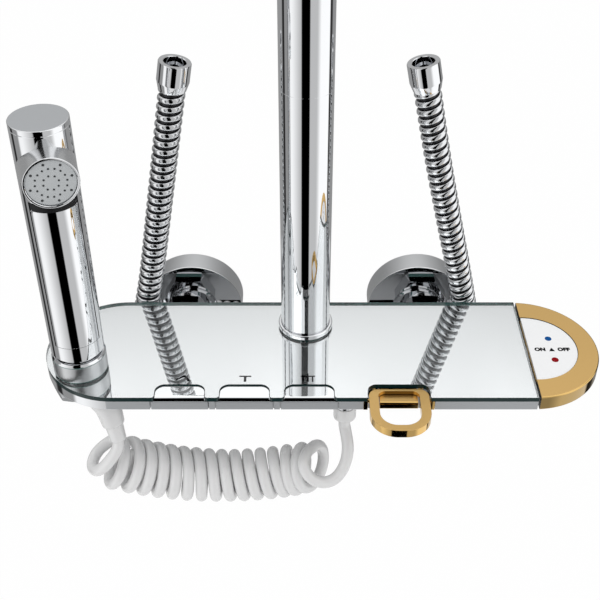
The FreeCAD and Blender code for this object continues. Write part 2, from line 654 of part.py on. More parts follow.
def key(centre, width, front, top, plate, edge_radius):
    """One press key: plate, turned-down front and the barrel round its shaft."""
    lip = block(centre - width / 2, centre + width / 2, front, front + KEY_LIP, TRAY_BOTTOM, top)
    bottom = top - plate
    deck = block(centre - width / 2, centre + width / 2, front + KEY_LIP / 2, KEY_PIVOT_Y, bottom, top)
    solid = lip.fuse(deck).removeSplitter()
    barrel = rod(KEY_BARREL, Vector(centre - width / 2, KEY_PIVOT_Y, SHAFT_Z),
                 Vector(centre + width / 2, KEY_PIVOT_Y, SHAFT_Z))
    solid = soften(solid, edge_radius, lambda edge: abs(edge.CenterOfMass.y - front) < FIT_GAP
                   and abs(edge.CenterOfMass.z - top) < FIT_GAP)
    solid = soften(solid, KEY_SIDE_EDGE, lambda edge: abs(edge.CenterOfMass.y - front) < FIT_GAP
                   and abs(edge.CenterOfMass.z - TRAY_BOTTOM) < FIT_GAP)
    solid = solid.fuse(barrel)
    bore = rod(KEY_SHAFT + 2 * RUNNING_GAP, Vector(centre - width, KEY_PIVOT_Y, SHAFT_Z),
               Vector(centre + width, KEY_PIVOT_Y, SHAFT_Z))
    trim = block(centre - width, centre + width, KEY_PIVOT_Y - KEY_BARREL, SLOT_BACK, top,
                 GLASS_BOTTOM + OVERRUN)
    return solid.cut([bore, trim]).removeSplitter()


def plunger(centre, touch):
    """Stem of a key valve with its flat button, standing in the body."""
    top = touch - PLUNGER_CLEAR
    head = rod(PLUNGER_HEAD, Vector(centre, PLUNGER_Y, top - PLUNGER_HEAD_HEIGHT),
               Vector(centre, PLUNGER_Y, top))
    stem = rod(PLUNGER_DIAMETER, Vector(centre, PLUNGER_Y, top - PLUNGER_REACH),
               Vector(centre, PLUNGER_Y, top))
    return head.fuse(stem).removeSplitter()


def keys():
    """Chrome keys, the key inside the ring, their shafts and valve stems."""
    for name, stem, centre in zip(KEY_NAMES, PLUNGER_NAMES, key_centres()):
        NODES[name] = key(centre, KEY_WIDTH, SHELF_FRONT, KEY_TOP, KEY_PLATE, KEY_EDGE)
        NODES[stem] = plunger(centre, KEY_BOTTOM)
    NODES["key_gold"] = key(RING_X, RING_KEY_WIDTH, RING_KEY_FRONT, RING_KEY_TOP, RING_KEY_PLATE, KEY_EDGE)
    NODES["plunger_gold"] = plunger(RING_X, RING_KEY_TOP - RING_KEY_PLATE)
    half = KEY_WIDTH / 2 + KEY_GAP + KEY_SHAFT_GRIP - FIT_GAP
    NODES["key_shaft"] = rod(KEY_SHAFT, Vector(key_centres()[0] - half, KEY_PIVOT_Y, SHAFT_Z),
                             Vector(key_centres()[-1] + half, KEY_PIVOT_Y, SHAFT_Z))
    half = RING_KEY_WIDTH / 2 + KEY_GAP + KEY_SHAFT_GRIP - FIT_GAP
    NODES["key_gold_shaft"] = rod(KEY_SHAFT, Vector(RING_X - half, KEY_PIVOT_Y, SHAFT_Z),
                                  Vector(RING_X + half, KEY_PIVOT_Y, SHAFT_Z))


def rounded(half, back, front, back_radius, front_radius, z_low, height):
    """Slab with small rounds at its back corners and large ones at the front."""
    quarter = math.cos(math.radians(45))

    def point(across, along):
        return Vector(RING_X + across, along, z_low)

    far = half - back_radius
    near = half - front_radius
    wire = flat([
        point(-far, back),
        point(far, back),
        (point(far + back_radius * quarter, back - back_radius * (1 - quarter)),
         point(half, back - back_radius)),
        point(half, front + front_radius),
        (point(near + front_radius * quarter, front + front_radius * (1 - quarter)), point(near, front)),
        point(-near, front),
        (point(-near - front_radius * quarter, front + front_radius * (1 - quarter)),
         point(-half, front + front_radius)),
        point(-half, back - back_radius),
        (point(-far - back_radius * quarter, back - back_radius * (1 - quarter)), point(-far, back)),
    ])
    return slab(wire, height)


def hook_ring():
    """Hinged ring round the fourth key, with a lug and pin on either side."""
    half = RING_WIDTH / 2
    inner_half = half - RING_SIDE
    front = RING_BACK - RING_LENGTH
    low = RING_TOP - RING_THICKNESS
    ring = rounded(half, RING_BACK, front, RING_BACK_RADIUS, RING_FRONT_RADIUS, low, RING_THICKNESS)
    ring = soften(ring, RING_EDGE, lambda edge: at_level(RING_TOP)(edge) or at_level(low)(edge))
    inner = rounded(inner_half, RING_BACK - RING_BACK_BAR, front + RING_FRONT_BAR,
                    RING_BACK_RADIUS - RING_BACK_BAR, RING_FRONT_RADIUS - RING_SIDE,
                    low - OVERRUN, RING_THICKNESS + 2 * OVERRUN)
    relief = block(RING_X - inner_half, RING_X + inner_half, RING_BACK + OVERRUN, RING_BACK - RING_SIDE,
                   low - OVERRUN, RING_TOP - RING_BAR_THICKNESS)
    holes = []
    for side, name in ((-1, "left"), (1, "right")):
        edge = RING_X + side * half
        wall = edge + side * KEY_GAP
        seat = Vector(wall + side * (LUG_WIDTH - FIT_GAP), RING_AXIS_Y, RING_AXIS_Z)
        lug = block(wall + side * FIT_GAP, wall + side * (LUG_WIDTH - FIT_GAP), SHELF_FRONT,
                    SHELF_FRONT + LUG_DEPTH - FIT_GAP, TRAY_BOTTOM, GLASS_BOTTOM - FIT_GAP)
        pin = rod(RING_PIN, seat, Vector(edge - side * RING_PIN_GRIP, RING_AXIS_Y, RING_AXIS_Z))
        NODES["ring_lug_" + name] = lug.fuse(pin).removeSplitter()
        holes.append(rod(RING_PIN + 2 * RUNNING_GAP, Vector(edge + side * OVERRUN, RING_AXIS_Y, RING_AXIS_Z),
                         Vector(edge - side * (RING_PIN_GRIP + FIT_GAP), RING_AXIS_Y, RING_AXIS_Z)))
    NODES["hook_ring"] = ring.cut([inner, relief] + holes)


def riser():
    """Socket on the body, lower and upper riser tubes, their sleeve and the glass collar."""
    bottom = BODY_TOP
    socket = rod(RISER_BORE - 2 * FIT_GAP, Vector(0, RISER_Y, bottom),
                 Vector(0, RISER_Y, bottom + SOCKET_HEIGHT))
    thread = rod(SOCKET_THREAD, Vector(0, RISER_Y, bottom - SOCKET_THREAD_LENGTH + FIT_GAP),
                 Vector(0, RISER_Y, bottom))
    bore = rod(SOCKET_THREAD - 2 * SOCKET_WALL, Vector(0, RISER_Y, bottom - SOCKET_THREAD_LENGTH - OVERRUN),
               Vector(0, RISER_Y, bottom + SOCKET_HEIGHT + OVERRUN))
    NODES["riser_socket"] = socket.fuse(thread).cut(bore)
    NODES["riser_lower"] = pipe(RISER_DIAMETER, RISER_BORE, Vector(0, RISER_Y, bottom),
                                Vector(0, RISER_Y, RISER_SEAM))
    upper = pipe(RISER_DIAMETER, RISER_BORE, Vector(0, RISER_Y, RISER_SEAM), Vector(0, RISER_Y, RISER_TOP))
    groove = pipe(RISER_DIAMETER + OVERRUN, RISER_DIAMETER - 2 * SEAM_EDGE,
                  Vector(0, RISER_Y, RISER_SEAM - SEAM_EDGE),
                  Vector(0, RISER_Y, RISER_SEAM + SEAM_EDGE))
    seat = rod(RISER_SEAT, Vector(0, RISER_Y, RISER_TOP - RISER_SEAT_DEPTH),
               Vector(0, RISER_Y, RISER_TOP + OVERRUN))
    NODES["riser_upper"] = upper.cut([groove, seat])
    outside = RISER_BORE - 2 * FIT_GAP
    NODES["riser_sleeve"] = pipe(outside, outside - 2 * SLEEVE_WALL,
                                 Vector(0, RISER_Y, RISER_SEAM - SLEEVE_LENGTH / 2),
                                 Vector(0, RISER_Y, RISER_SEAM + SLEEVE_LENGTH / 2))
    collar = rod(RISER_COLLAR_DIAMETER, Vector(0, RISER_Y, SHELF_TOP),
                 Vector(0, RISER_Y, SHELF_TOP + RISER_COLLAR_HEIGHT))
    collar = soften(collar, RISER_COLLAR_EDGE, at_level(SHELF_TOP + RISER_COLLAR_HEIGHT))
    NODES["riser_collar"] = collar.cut(rod(RISER_DIAMETER + 2 * FIT_GAP,
                                           Vector(0, RISER_Y, SHELF_TOP - OVERRUN),
                                           Vector(0, RISER_Y, DOCK_TOP)))


def lever():
    """Mixing cartridge, its nut, the turning hub and the half-round lever with its inlay."""
    start = CARTRIDGE_END - CARTRIDGE_LENGTH + FIT_GAP
    middle = Vector(CARTRIDGE_END, CARTRIDGE_Y, CARTRIDGE_Z)
    cartridge = rod(CARTRIDGE_DIAMETER, Vector(start, CARTRIDGE_Y, CARTRIDGE_Z), middle)
    socket = rod(STEM_DIAMETER + 2 * RUNNING_GAP, middle - X_AXIS * (STEM_LENGTH - FIT_GAP),
                 middle + X_AXIS * OVERRUN)
    NODES["mixing_cartridge"] = cartridge.cut(socket)
    nut_end = middle + X_AXIS * CARTRIDGE_NUT_LENGTH
    bore = STEM_DIAMETER + 2 * HOLE_GAP
    NODES["cartridge_nut"] = pipe(CARTRIDGE_NUT_DIAMETER, bore, middle, nut_end)

    hub_left = LEVER_LEFT + HUB_GAP
    hub_right = hub_left + HUB_DEPTH
    hub_top = LIFT_AXIS_Z + HUB_WALL - HUB_GAP
    stem = rod(STEM_DIAMETER, middle - X_AXIS * (STEM_LENGTH - HUB_GAP),
               Vector(hub_right, CARTRIDGE_Y, CARTRIDGE_Z))
    column = block(hub_left, hub_right, CARTRIDGE_Y - HUB_WIDTH / 2, CARTRIDGE_Y + HUB_WIDTH / 2,
                   CARTRIDGE_Z - STEM_DIAMETER / 2 - HUB_WALL / 2, hub_top)
    lift_bore = rod(LIFT_PIN + 2 * FIT_GAP, Vector(LIFT_AXIS_X, CARTRIDGE_Y - HUB_WIDTH, LIFT_AXIS_Z),
                    Vector(LIFT_AXIS_X, CARTRIDGE_Y + HUB_WIDTH, LIFT_AXIS_Z))
    NODES["lever_hub"] = stem.fuse(column).cut(lift_bore).removeSplitter()
    reach = HUB_WIDTH / 2 + POCKET_GAP + LIFT_PIN_GRIP
    NODES["lever_pin"] = rod(LIFT_PIN, Vector(LIFT_AXIS_X, CARTRIDGE_Y - reach, LIFT_AXIS_Z),
                             Vector(LIFT_AXIS_X, CARTRIDGE_Y + reach, LIFT_AXIS_Z))

    radius = SHELF_RADIUS
    centre = LEVER_LEFT - LEVER_CENTRE_INSET
    disc = rod(2 * radius, Vector(centre, SHELF_MIDDLE, LEVER_BOTTOM),
               Vector(centre, SHELF_MIDDLE, SHELF_TOP))
    keep = block(LEVER_LEFT, centre + 2 * radius, SHELF_FRONT - OVERRUN, SHELF_BACK + OVERRUN,
                 LEVER_BOTTOM - OVERRUN, SHELF_TOP + OVERRUN)
    handle = disc.common(keep)
    handle = soften(handle, LEVER_EDGE, lambda edge: edge.Curve.TypeId == "Part::GeomCircle")
    inlay_centre = LEVER_LEFT + INLAY_CENTRE_INSET
    seat = SHELF_TOP - INLAY_RECESS - INLAY_THICKNESS
    pocket = rod(2 * (INLAY_RADIUS + FIT_GAP), Vector(inlay_centre, SHELF_MIDDLE, seat),
                 Vector(inlay_centre, SHELF_MIDDLE, SHELF_TOP + OVERRUN))
    pocket = pocket.common(block(LEVER_LEFT + INLAY_INSET, centre + 2 * radius, SHELF_FRONT, SHELF_BACK,
                                 seat, SHELF_TOP + OVERRUN))
    recess = block(LEVER_LEFT - OVERRUN, LIFT_AXIS_X + POCKET_LENGTH,
                   CARTRIDGE_Y - HUB_WIDTH / 2 - POCKET_GAP,
                   CARTRIDGE_Y + HUB_WIDTH / 2 + POCKET_GAP, LEVER_BOTTOM - OVERRUN, POCKET_TOP)
    pin_bore = rod(LIFT_PIN + 2 * RUNNING_GAP,
                   Vector(LIFT_AXIS_X, CARTRIDGE_Y - reach - FIT_GAP, LIFT_AXIS_Z),
                   Vector(LIFT_AXIS_X, CARTRIDGE_Y + reach + FIT_GAP, LIFT_AXIS_Z))
    NODES["lever_handle"] = handle.cut([pocket, recess, pin_bore])
    inlay = rod(2 * INLAY_RADIUS, Vector(inlay_centre, SHELF_MIDDLE, seat),
                Vector(inlay_centre, SHELF_MIDDLE, seat + INLAY_THICKNESS))
    NODES["lever_inlay"] = inlay.common(block(LEVER_LEFT + INLAY_INSET + FIT_GAP,
                                              centre + 2 * radius, SHELF_FRONT,
                                              SHELF_BACK, seat, SHELF_TOP))


def dock_point(z):
    """Point on the hand spray's axis."""
    return Vector(DOCK_X, DOCK_Y, z)


def dock():
    """Collar on the glass, its liner and the lock nut below the tray."""
    foot = SHELF_TOP + DOCK_HEIGHT - DOCK_RECESS
    outer = rod(DOCK_DIAMETER, dock_point(SHELF_TOP), dock_point(DOCK_TOP))
    outer = outer.makeChamfer(DOCK_LIP, [edge for edge in outer.Edges if at_level(DOCK_TOP)(edge)])
    tail_end = SHELF_TOP - DOCK_TAIL
    thread = rod(DOCK_THREAD, dock_point(tail_end), dock_point(SHELF_TOP))
    through = rod(DOCK_BORE, dock_point(tail_end - OVERRUN), dock_point(DOCK_TOP + OVERRUN))
    cup = rod(NECK_DIAMETER + 2 * HOLE_GAP, dock_point(foot), dock_point(DOCK_TOP + OVERRUN))
    NODES["dock_collar"] = outer.fuse(thread).cut([through, cup]).removeSplitter()
    NODES["dock_liner"] = pipe(DOCK_BORE - 2 * RUNNING_GAP, DOCK_BORE - 2 * RUNNING_GAP - 2 * LINER_WALL,
                               dock_point(tail_end), dock_point(foot))
    nut = chamfered_hexagon(DOCK_NUT_FLATS, dock_point(TRAY_BOTTOM - DOCK_NUT_HEIGHT),
                            dock_point(TRAY_BOTTOM))
    NODES["dock_lock_nut"] = nut.cut(rod(DOCK_THREAD + 2 * FIT_GAP, dock_point(0), dock_point(SHELF_TOP)))


def head_frame():
    """Facing direction of the spray head and the direction to its side."""
    angle = math.radians(HEAD_AZIMUTH)
    facing = Vector(math.sin(angle), -math.cos(angle), 0)
    return facing, Vector(math.cos(angle), math.sin(angle), 0)


def oriented(forward_low, forward_high, half_width, z_low, z_high):
    """Box on the hand spray's axis, turned to face as the head does."""
    solid = block(-half_width, half_width, -forward_high, -forward_low, z_low, z_high)
    solid.rotate(Vector(0, 0, 0), Z_AXIS, HEAD_AZIMUTH)
    solid.translate(Vector(DOCK_X, DOCK_Y, 0))
    return solid


def hand_spray():
    """Spray handle: shell, cap, head with its face, trigger, pin and tail."""
    facing, across = head_frame()
    cap_bottom = HANDSET_TOP - CAP_THICKNESS
    shell = pipe(HANDSET_DIAMETER, HANDSET_DIAMETER - 2 * HANDSET_WALL, dock_point(HANDSET_BOTTOM),
                 dock_point(cap_bottom))
    window = oriented(TRIGGER_SIDE_FLOOR, HANDSET_DIAMETER, TRIGGER_HALF_WIDTH + TRIGGER_GAP,
                      TRIGGER_BOTTOM - TRIGGER_GAP, TRIGGER_TOP + TRIGGER_GAP)
    axis_point = dock_point(TRIGGER_AXIS_Z) + facing * TRIGGER_AXIS_REACH
    pin_half = math.sqrt(HANDSET_RADIUS ** 2 - TRIGGER_AXIS_REACH ** 2) - HANDSET_WALL / 8
    centre = dock_point(HEAD_Z)
    root = centre + facing * (HANDSET_RADIUS - HANDSET_WALL - HEAD_WALL)
    face = centre + facing * HEAD_REACH
    cut_root = rod(HEAD_ROOT_DIAMETER - 2 * HEAD_WALL, centre, face)
    pin_hole = rod(TRIGGER_PIN + 2 * FIT_GAP, axis_point - across * HANDSET_RADIUS,
                   axis_point + across * HANDSET_RADIUS)
    NODES["handset_shell"] = shell.cut([window, cut_root, pin_hole])
    cap = rod(HANDSET_DIAMETER, dock_point(cap_bottom), dock_point(HANDSET_TOP))
    NODES["handset_top_cap"] = soften(cap, CAP_EDGE, at_level(HANDSET_TOP))

    outer = cone(HEAD_ROOT_DIAMETER, HEAD_DIAMETER, centre, face)
    outer = soften(outer, HEAD_EDGE, lambda edge: (edge.CenterOfMass - face).Length < FIT_GAP)
    barrel = rod(HANDSET_DIAMETER, dock_point(HANDSET_BOTTOM), dock_point(HANDSET_TOP))
    outer = outer.cut(barrel)
    neck = rod(HEAD_ROOT_DIAMETER - 2 * HEAD_WALL - 2 * FIT_GAP, root, face)
    seat = face - facing * (HEAD_RECESS + FACE_THICKNESS)
    water = rod(HEAD_DIAMETER - 6 * HEAD_WALL, root - facing * OVERRUN, face)
    cup = rod(HEAD_DIAMETER - 2 * HEAD_WALL, seat, face + facing * OVERRUN)
    NODES["handset_head"] = outer.fuse(neck).cut([water, cup]).removeSplitter()
    plate = rod(HEAD_DIAMETER - 2 * HEAD_WALL - 2 * FIT_GAP, seat, seat + facing * FACE_THICKNESS)
    nozzles = []
    front = seat + facing * FACE_THICKNESS
    for count, radius, offset in zip(NOZZLE_COUNTS, NOZZLE_RADII, NOZZLE_ANGLES):
        for index in range(count):
            angle = math.radians(offset + 360 * index / count)
            spot = front + across * (radius * math.cos(angle)) + Z_AXIS * (radius * math.sin(angle))
            nozzles.append(rod(NOZZLE_DIAMETER, spot - facing * NOZZLE_DEPTH, spot + facing * OVERRUN))
    NODES["spray_face"] = plate.cut(nozzles)

    panel = pipe(HANDSET_DIAMETER, HANDSET_DIAMETER - 2 * TRIGGER_WALL, dock_point(TRIGGER_BOTTOM),
                 dock_point(TRIGGER_TOP))
    panel = panel.common(oriented(TRIGGER_SIDE_FLOOR, HANDSET_DIAMETER, TRIGGER_HALF_WIDTH,
                                  TRIGGER_BOTTOM, TRIGGER_TOP))
    barrel_half = pin_half - HANDSET_WALL
    lug = rod(TRIGGER_BARREL, axis_point - across * barrel_half, axis_point + across * barrel_half)
    web = oriented(TRIGGER_AXIS_REACH, HANDSET_RADIUS - TRIGGER_WALL / 2, HANDSET_RADIUS / 2,
                   TRIGGER_AXIS_Z - TRIGGER_BARREL / 2, TRIGGER_AXIS_Z + TRIGGER_BARREL / 2)
    bore = rod(TRIGGER_PIN + 2 * RUNNING_GAP, axis_point - across * HANDSET_DIAMETER,
               axis_point + across * HANDSET_DIAMETER)
    inside = rod(HANDSET_DIAMETER, dock_point(TRIGGER_BOTTOM), dock_point(TRIGGER_TOP))
    NODES["trigger_paddle"] = panel.fuse([lug.common(inside), web.common(inside)]).cut(bore).removeSplitter()
    NODES["trigger_pin"] = rod(TRIGGER_PIN, axis_point - across * pin_half, axis_point + across * pin_half)

    plug_top = HANDSET_BOTTOM + CAP_THICKNESS
    plug = rod(HANDSET_DIAMETER - 2 * HANDSET_WALL - 2 * FIT_GAP, dock_point(HANDSET_BOTTOM),
               dock_point(plug_top))
    foot = SHELF_TOP + DOCK_HEIGHT - DOCK_RECESS
    ring_bottom = foot + HOLE_GAP
    neck = rod(NECK_DIAMETER, dock_point(ring_bottom), dock_point(HANDSET_BOTTOM))
    neck = soften(neck, NECK_EDGE, at_level(ring_bottom))
    tail = rod(DOCK_BORE - 2 * LINER_WALL - 2 * RUNNING_GAP - 2 * HOLE_GAP, dock_point(TAIL_END),
               dock_point(HANDSET_BOTTOM))
    bore = rod(TAIL_BORE, dock_point(TAIL_END + HOLE_GAP * 10), dock_point(plug_top + OVERRUN))
    NODES["handset_tail"] = plug.fuse([neck, tail]).cut(bore).removeSplitter()


def arc_edge(start, corner, end):
    """Arc that leaves the start toward the corner and reaches the end from it."""
    legs = (corner - start).Length + (end - corner).Length
    weight = (end - start).Length / legs
    if weight > 1 - NEAR_STRAIGHT:
        return Part.makeLine(start, end), math.inf
    middle = (start + end + corner * (2 * weight)) * (0.5 / (1 + weight))
    edge = Part.Arc(start, middle, end).toShape()
    return edge, edge.Curve.Radius


def two_arcs(start, start_way, end, end_way):
    """Two tangent arcs between two points that have set directions."""
    chord = end - start
    ways = start_way + end_way
    spread = 2 * (1 - start_way.dot(end_way))
    along = chord.dot(ways)
    if spread < NEAR_STRAIGHT:
        leg = chord.dot(chord) / (2 * along)
    else:
        leg = (math.sqrt(along ** 2 + spread * chord.dot(chord)) - along) / spread
    first = start + start_way * leg
    last = end - end_way * leg
    joint = (first + last) * 0.5
    return [arc_edge(start, first, joint), arc_edge(joint, last, end)]


def chain(stations):
    """Edges and radii of the arcs through points with directions."""
    edges = []
    radii = []
    for (start, start_way), (end, end_way) in zip(stations, stations[1:]):
        for edge, radius in two_arcs(start, start_way, end, end_way):
            edges.append(edge)
            radii.append(radius)
    return edges, radii


def coil_point(turn):
    """Point of the coiled hose's middle line, counted in turns from its first top."""
    length = COIL_AXIS_RADIUS * math.asin((COIL_END_X - COIL_MIDDLE_X) / COIL_AXIS_RADIUS)
    length -= COIL_PITCH * (COIL_TURNS - turn)
    length -= COIL_LOOSE_STEP * max(0.0, COIL_LOOSE_TURNS - turn) ** 2
    lean = length / COIL_AXIS_RADIUS
    up = Vector(-math.sin(lean), 0, math.cos(lean))
    axis = Vector(COIL_MIDDLE_X, COIL_Y, COIL_MIDDLE_Z + COIL_AXIS_RADIUS) - up * COIL_AXIS_RADIUS
    angle = 2 * math.pi * turn
    return axis + up * (COIL_RADIUS * math.cos(angle)) - Y_AXIS * (COIL_RADIUS * math.sin(angle))


def coil_station(turn):
    """Point of the coil with the direction in which the hose runs there."""
    step = 1 / COIL_SAMPLES ** 2
    return coil_point(turn), (coil_point(turn + step) - coil_point(turn - step)).normalize()


def guard_way():
    """Direction in which the bend guard points, down and a little to the right."""
    tilt = math.radians(GUARD_TILT)
    lean = math.radians(GUARD_LEAN)
    return Vector(math.sin(tilt), -math.cos(tilt) * math.sin(lean), -math.cos(tilt) * math.cos(lean))


def coil_stations():
    """Points and directions of the coiled hose from the bend guard to the outlet nut."""
    way = guard_way()
    pivot = dock_point(TAIL_END - GUARD_COLLAR / 2)
    tip = pivot + way * (GUARD_COLLAR_LENGTH + GUARD_NECK_LENGTH)
    stations = [(tip, way), (tip + way * COIL_TUBE, way)]
    dock_end = dock_point(TAIL_END)
    stations += [(dock_end + Vector(*step), Vector(*toward).normalize()) for step, toward in HOSE_IN_POINTS]
    turn = COIL_START_TURN
    while turn < COIL_END_TURN:
        stations.append(coil_station(turn))
        turn += 0.25
    stations.append(coil_station(COIL_END_TURN))
    nut = Vector(OUTLET_X, OUTLET_Y, FRONT_BAR_BOTTOM - OUTLET_LENGTH - COIL_NUT_LENGTH)
    stations += [(nut + Vector(*step), Vector(*toward).normalize()) for step, toward in HOSE_OUT_POINTS]
    stations += [(nut - Z_AXIS * COIL_TUBE, Z_AXIS), (nut, Z_AXIS)]
    return stations


def least_gap(edges, diameter):
    """Least gap between a tube's own turns, from points along its middle line."""
    points = []
    walked = 0.0
    for edge in edges:
        for index in range(COIL_SAMPLES // 2):
            step = edge.Length * index * 2 / COIL_SAMPLES
            points.append((walked + step, edge.valueAt(edge.getParameterByLength(step))))
        walked += edge.Length
    least = math.inf
    for index, (here, point) in enumerate(points):
        for there, other in points[index + 1:]:
            if there - here > 3 * diameter:
                least = min(least, (point - other).Length)
    return least - diameter


def swept(edges, diameter):
    """Round tube along a chain of tangent edges."""
    start = edges[0].valueAt(edges[0].FirstParameter)
    way = edges[0].tangentAt(edges[0].FirstParameter)
    profile = Part.Wire([Part.makeCircle(diameter / 2, start, way)])
    return Part.Wire(edges).makePipeShell([profile], True, False)


def coiled_hose():
    """Hose in its coil, the bend guard at the hand spray, and the outlet with its nut."""
    edges, radii = chain(coil_stations())
    length = sum(edge.Length for edge in edges)
    hose = swept(edges, COIL_TUBE)
    section = math.pi * COIL_TUBE ** 2 / 4
    print(f"coil length {length:.1f} tightest radius {min(radii):.1f}"
          f" volume share {hose.Volume / (section * length):.4f} least gap {least_gap(edges, COIL_TUBE):.2f}")
    NODES["coil_hose"] = hose

    way = guard_way()
    pivot = dock_point(TAIL_END - GUARD_COLLAR / 2)
    step = pivot + way * GUARD_COLLAR_LENGTH
    ball = Part.makeSphere(GUARD_COLLAR / 2, pivot)
    seat = rod(GUARD_COLLAR, pivot, dock_point(TAIL_END))
    guard = ball.fuse([seat, cone(GUARD_COLLAR, GUARD_STEP, pivot, step),
                       cone(GUARD_NECK, GUARD_TIP, step, step + way * GUARD_NECK_LENGTH)])
    NODES["bend_guard"] = guard.removeSplitter()

    def outlet(z):
        return Vector(OUTLET_X, OUTLET_Y, z)

    low = FRONT_BAR_BOTTOM - OUTLET_LENGTH
    nipple = rod(OUTLET_DIAMETER, outlet(low), outlet(FRONT_BAR_BOTTOM))
    thread = rod(OUTLET_THREAD, outlet(FRONT_BAR_BOTTOM), outlet(FRONT_BAR_BOTTOM + OUTLET_THREAD - FIT_GAP))
    bore = rod(OUTLET_BORE, outlet(low - OVERRUN), outlet(BODY_TOP))
    NODES["coil_outlet"] = nipple.fuse(thread).cut(bore)
    nut = rod(COIL_NUT_DIAMETER, outlet(low - COIL_NUT_LENGTH), outlet(low))
    NODES["coil_outlet_nut"] = soften(nut, COIL_NUT_EDGE, at_level(low - COIL_NUT_LENGTH))


def hose_stations(side, points):
    """Points of a metal hose with the direction in which it runs at each."""
    places = [Vector(side * INLET_SPACING / 2 + x, HOSE_Y, z) for x, z in points]
    stations = []
    for index, place in enumerate(places):
        if index == 0:
            way = Vector(0, 0, 1)
        elif index == len(places) - 1:
            way = (place - places[index - 1]).normalize()
        else:
            way = (places[index + 1] - places[index - 1]).normalize()
        stations.append((place, way))
    low = stations[0][0]
    high, way = stations[-1]
    return [(low, Z_AXIS), (low + Z_AXIS * (HOSE_DIAMETER / 2), Z_AXIS)] + stations[1:] + [
        (high + way * (HOSE_DIAMETER / 2), way)]


def ring_wire(edges, distance, diameter):
    """Circle square to the hose at a distance along its middle line."""
    for edge in edges:
        if distance <= edge.Length or edge is edges[-1]:
            break
        distance -= edge.Length
    parameter = edge.getParameterByLength(min(distance, edge.Length))
    way = edge.tangentAt(parameter)
    circle = Part.makeCircle(diameter / 2)
    turn = FreeCAD.Rotation(Y_AXIS, way.cross(Y_AXIS), way, "ZXY")
    circle.Placement = FreeCAD.Placement(edge.valueAt(parameter), turn)
    return Part.Wire([circle])


def ribbed_hose(side, points, name):
    """Ribbed metal hose with its bore, on a gently curved middle line."""
    edges, radii = chain(hose_stations(side, points))
    length = sum(edge.Length for edge in edges)
    ribs = round((length - HOSE_DIAMETER) / HOSE_RIB_PITCH)
    pitch = (length - HOSE_DIAMETER) / ribs
    sizes = (HOSE_ROOT, HOSE_DIAMETER, HOSE_DIAMETER, HOSE_ROOT)
    rings = [ring_wire(edges, 0, HOSE_ROOT)]
    for index in range(ribs):
        for share, size in zip(HOSE_RIB_SHARES, sizes):
            rings.append(ring_wire(edges, HOSE_DIAMETER / 2 + pitch * (index + share), size))
    rings.append(ring_wire(edges, length - HOSE_DIAMETER / 2, HOSE_ROOT))
    rings.append(ring_wire(edges, length, HOSE_ROOT))
    outer = Part.makeLoft(rings, True, True)
    bore = swept(edges, HOSE_BORE)
    hose = outer.cut(bore)
    print(f"{name} length {length:.1f} ribs {ribs} tightest radius {min(radii):.0f}"
          f" bore share {(outer.Volume - hose.Volume) / (math.pi * HOSE_BORE ** 2 / 4 * length):.4f}")
    NODES[name] = hose
    return edges


def metal_hoses():
    """Two ribbed hoses with their elbows under the body and their end nuts."""
    for side, name, points in ((-1, "left", HOSE_LEFT_POINTS), (1, "right", HOSE_RIGHT_POINTS)):
        edges = ribbed_hose(side, points, "metal_hose_" + name)
        x = side * OUTLET_SIDE_X
        bend = REAR_BAR_BOTTOM - ELBOW_DROP
        base = points[0][1]
        first = Vector(x, GALLERY_Y, bend)
        second = Vector(x, HOSE_Y, bend)
        nut_low = base - HOSE_NUT_LENGTH
        runs = [(ELBOW_DIAMETER, first, Vector(x, GALLERY_Y, REAR_BAR_BOTTOM)),
                (ELBOW_DIAMETER, first, second),
                (ELBOW_DIAMETER, second, Vector(x, HOSE_Y, nut_low)),
                (ELBOW_THREAD, Vector(x, HOSE_Y, nut_low), Vector(x, HOSE_Y, nut_low + ELBOW_THREAD_LENGTH))]
        elbow = Part.makeSphere(ELBOW_DIAMETER / 2, first).fuse(
            [Part.makeSphere(ELBOW_DIAMETER / 2, second)] + [rod(*run) for run in runs])
        bores = [Part.makeSphere(ELBOW_BORE / 2, first), Part.makeSphere(ELBOW_BORE / 2, second),
                 rod(ELBOW_BORE, first, Vector(x, GALLERY_Y, REAR_BAR_BOTTOM + OVERRUN)),
                 rod(ELBOW_BORE, first, second), rod(ELBOW_BORE, second, Vector(x, HOSE_Y, base))]
        NODES["hose_elbow_" + name] = elbow.removeSplitter().cut(bores)
        nut = chamfered_hexagon(HOSE_NUT_FLATS, Vector(x, HOSE_Y, nut_low), Vector(x, HOSE_Y, base))
        NODES["hose_nut_" + name] = nut.cut(
            [rod(ELBOW_THREAD + 2 * FIT_GAP, Vector(x, HOSE_Y, nut_low - OVERRUN),
                 Vector(x, HOSE_Y, nut_low + ELBOW_THREAD_LENGTH + FIT_GAP)),
             rod(HOSE_BORE, Vector(x, HOSE_Y, nut_low), Vector(x, HOSE_Y, base + OVERRUN))])
        last = edges[-1]
        end = last.valueAt(last.LastParameter)
        way = last.tangentAt(last.LastParameter)
        shoulder = end + way * TOP_NUT_TAPER
        top = end + way * TOP_NUT_LENGTH
        nut = cone(HOSE_DIAMETER, TOP_NUT_DIAMETER, end, shoulder).fuse(rod(TOP_NUT_DIAMETER, shoulder, top))
        NODES["hose_top_nut_" + name] = nut.removeSplitter().cut(
            [rod(HOSE_BORE, end - way * OVERRUN, top),
             rod(TOP_NUT_BORE, top - way * TOP_NUT_BORE_DEPTH, top + way * OVERRUN)])


if __name__ == "__main__":
    os.makedirs("parts", exist_ok=True)
    wall_connections()
    valve_body()
    shelf()
    keys()
    hook_ring()
    riser()
    lever()
    dock()
    hand_spray()
    coiled_hose()
    metal_hoses()
    for node, shape in NODES.items():
        solids = len(shape.Solids)
        print(f"{node:24s} solids {solids} valid {shape.isValid()} volume {shape.Volume:10.1f}")
        shape.exportStep(f"parts/{node}.step")
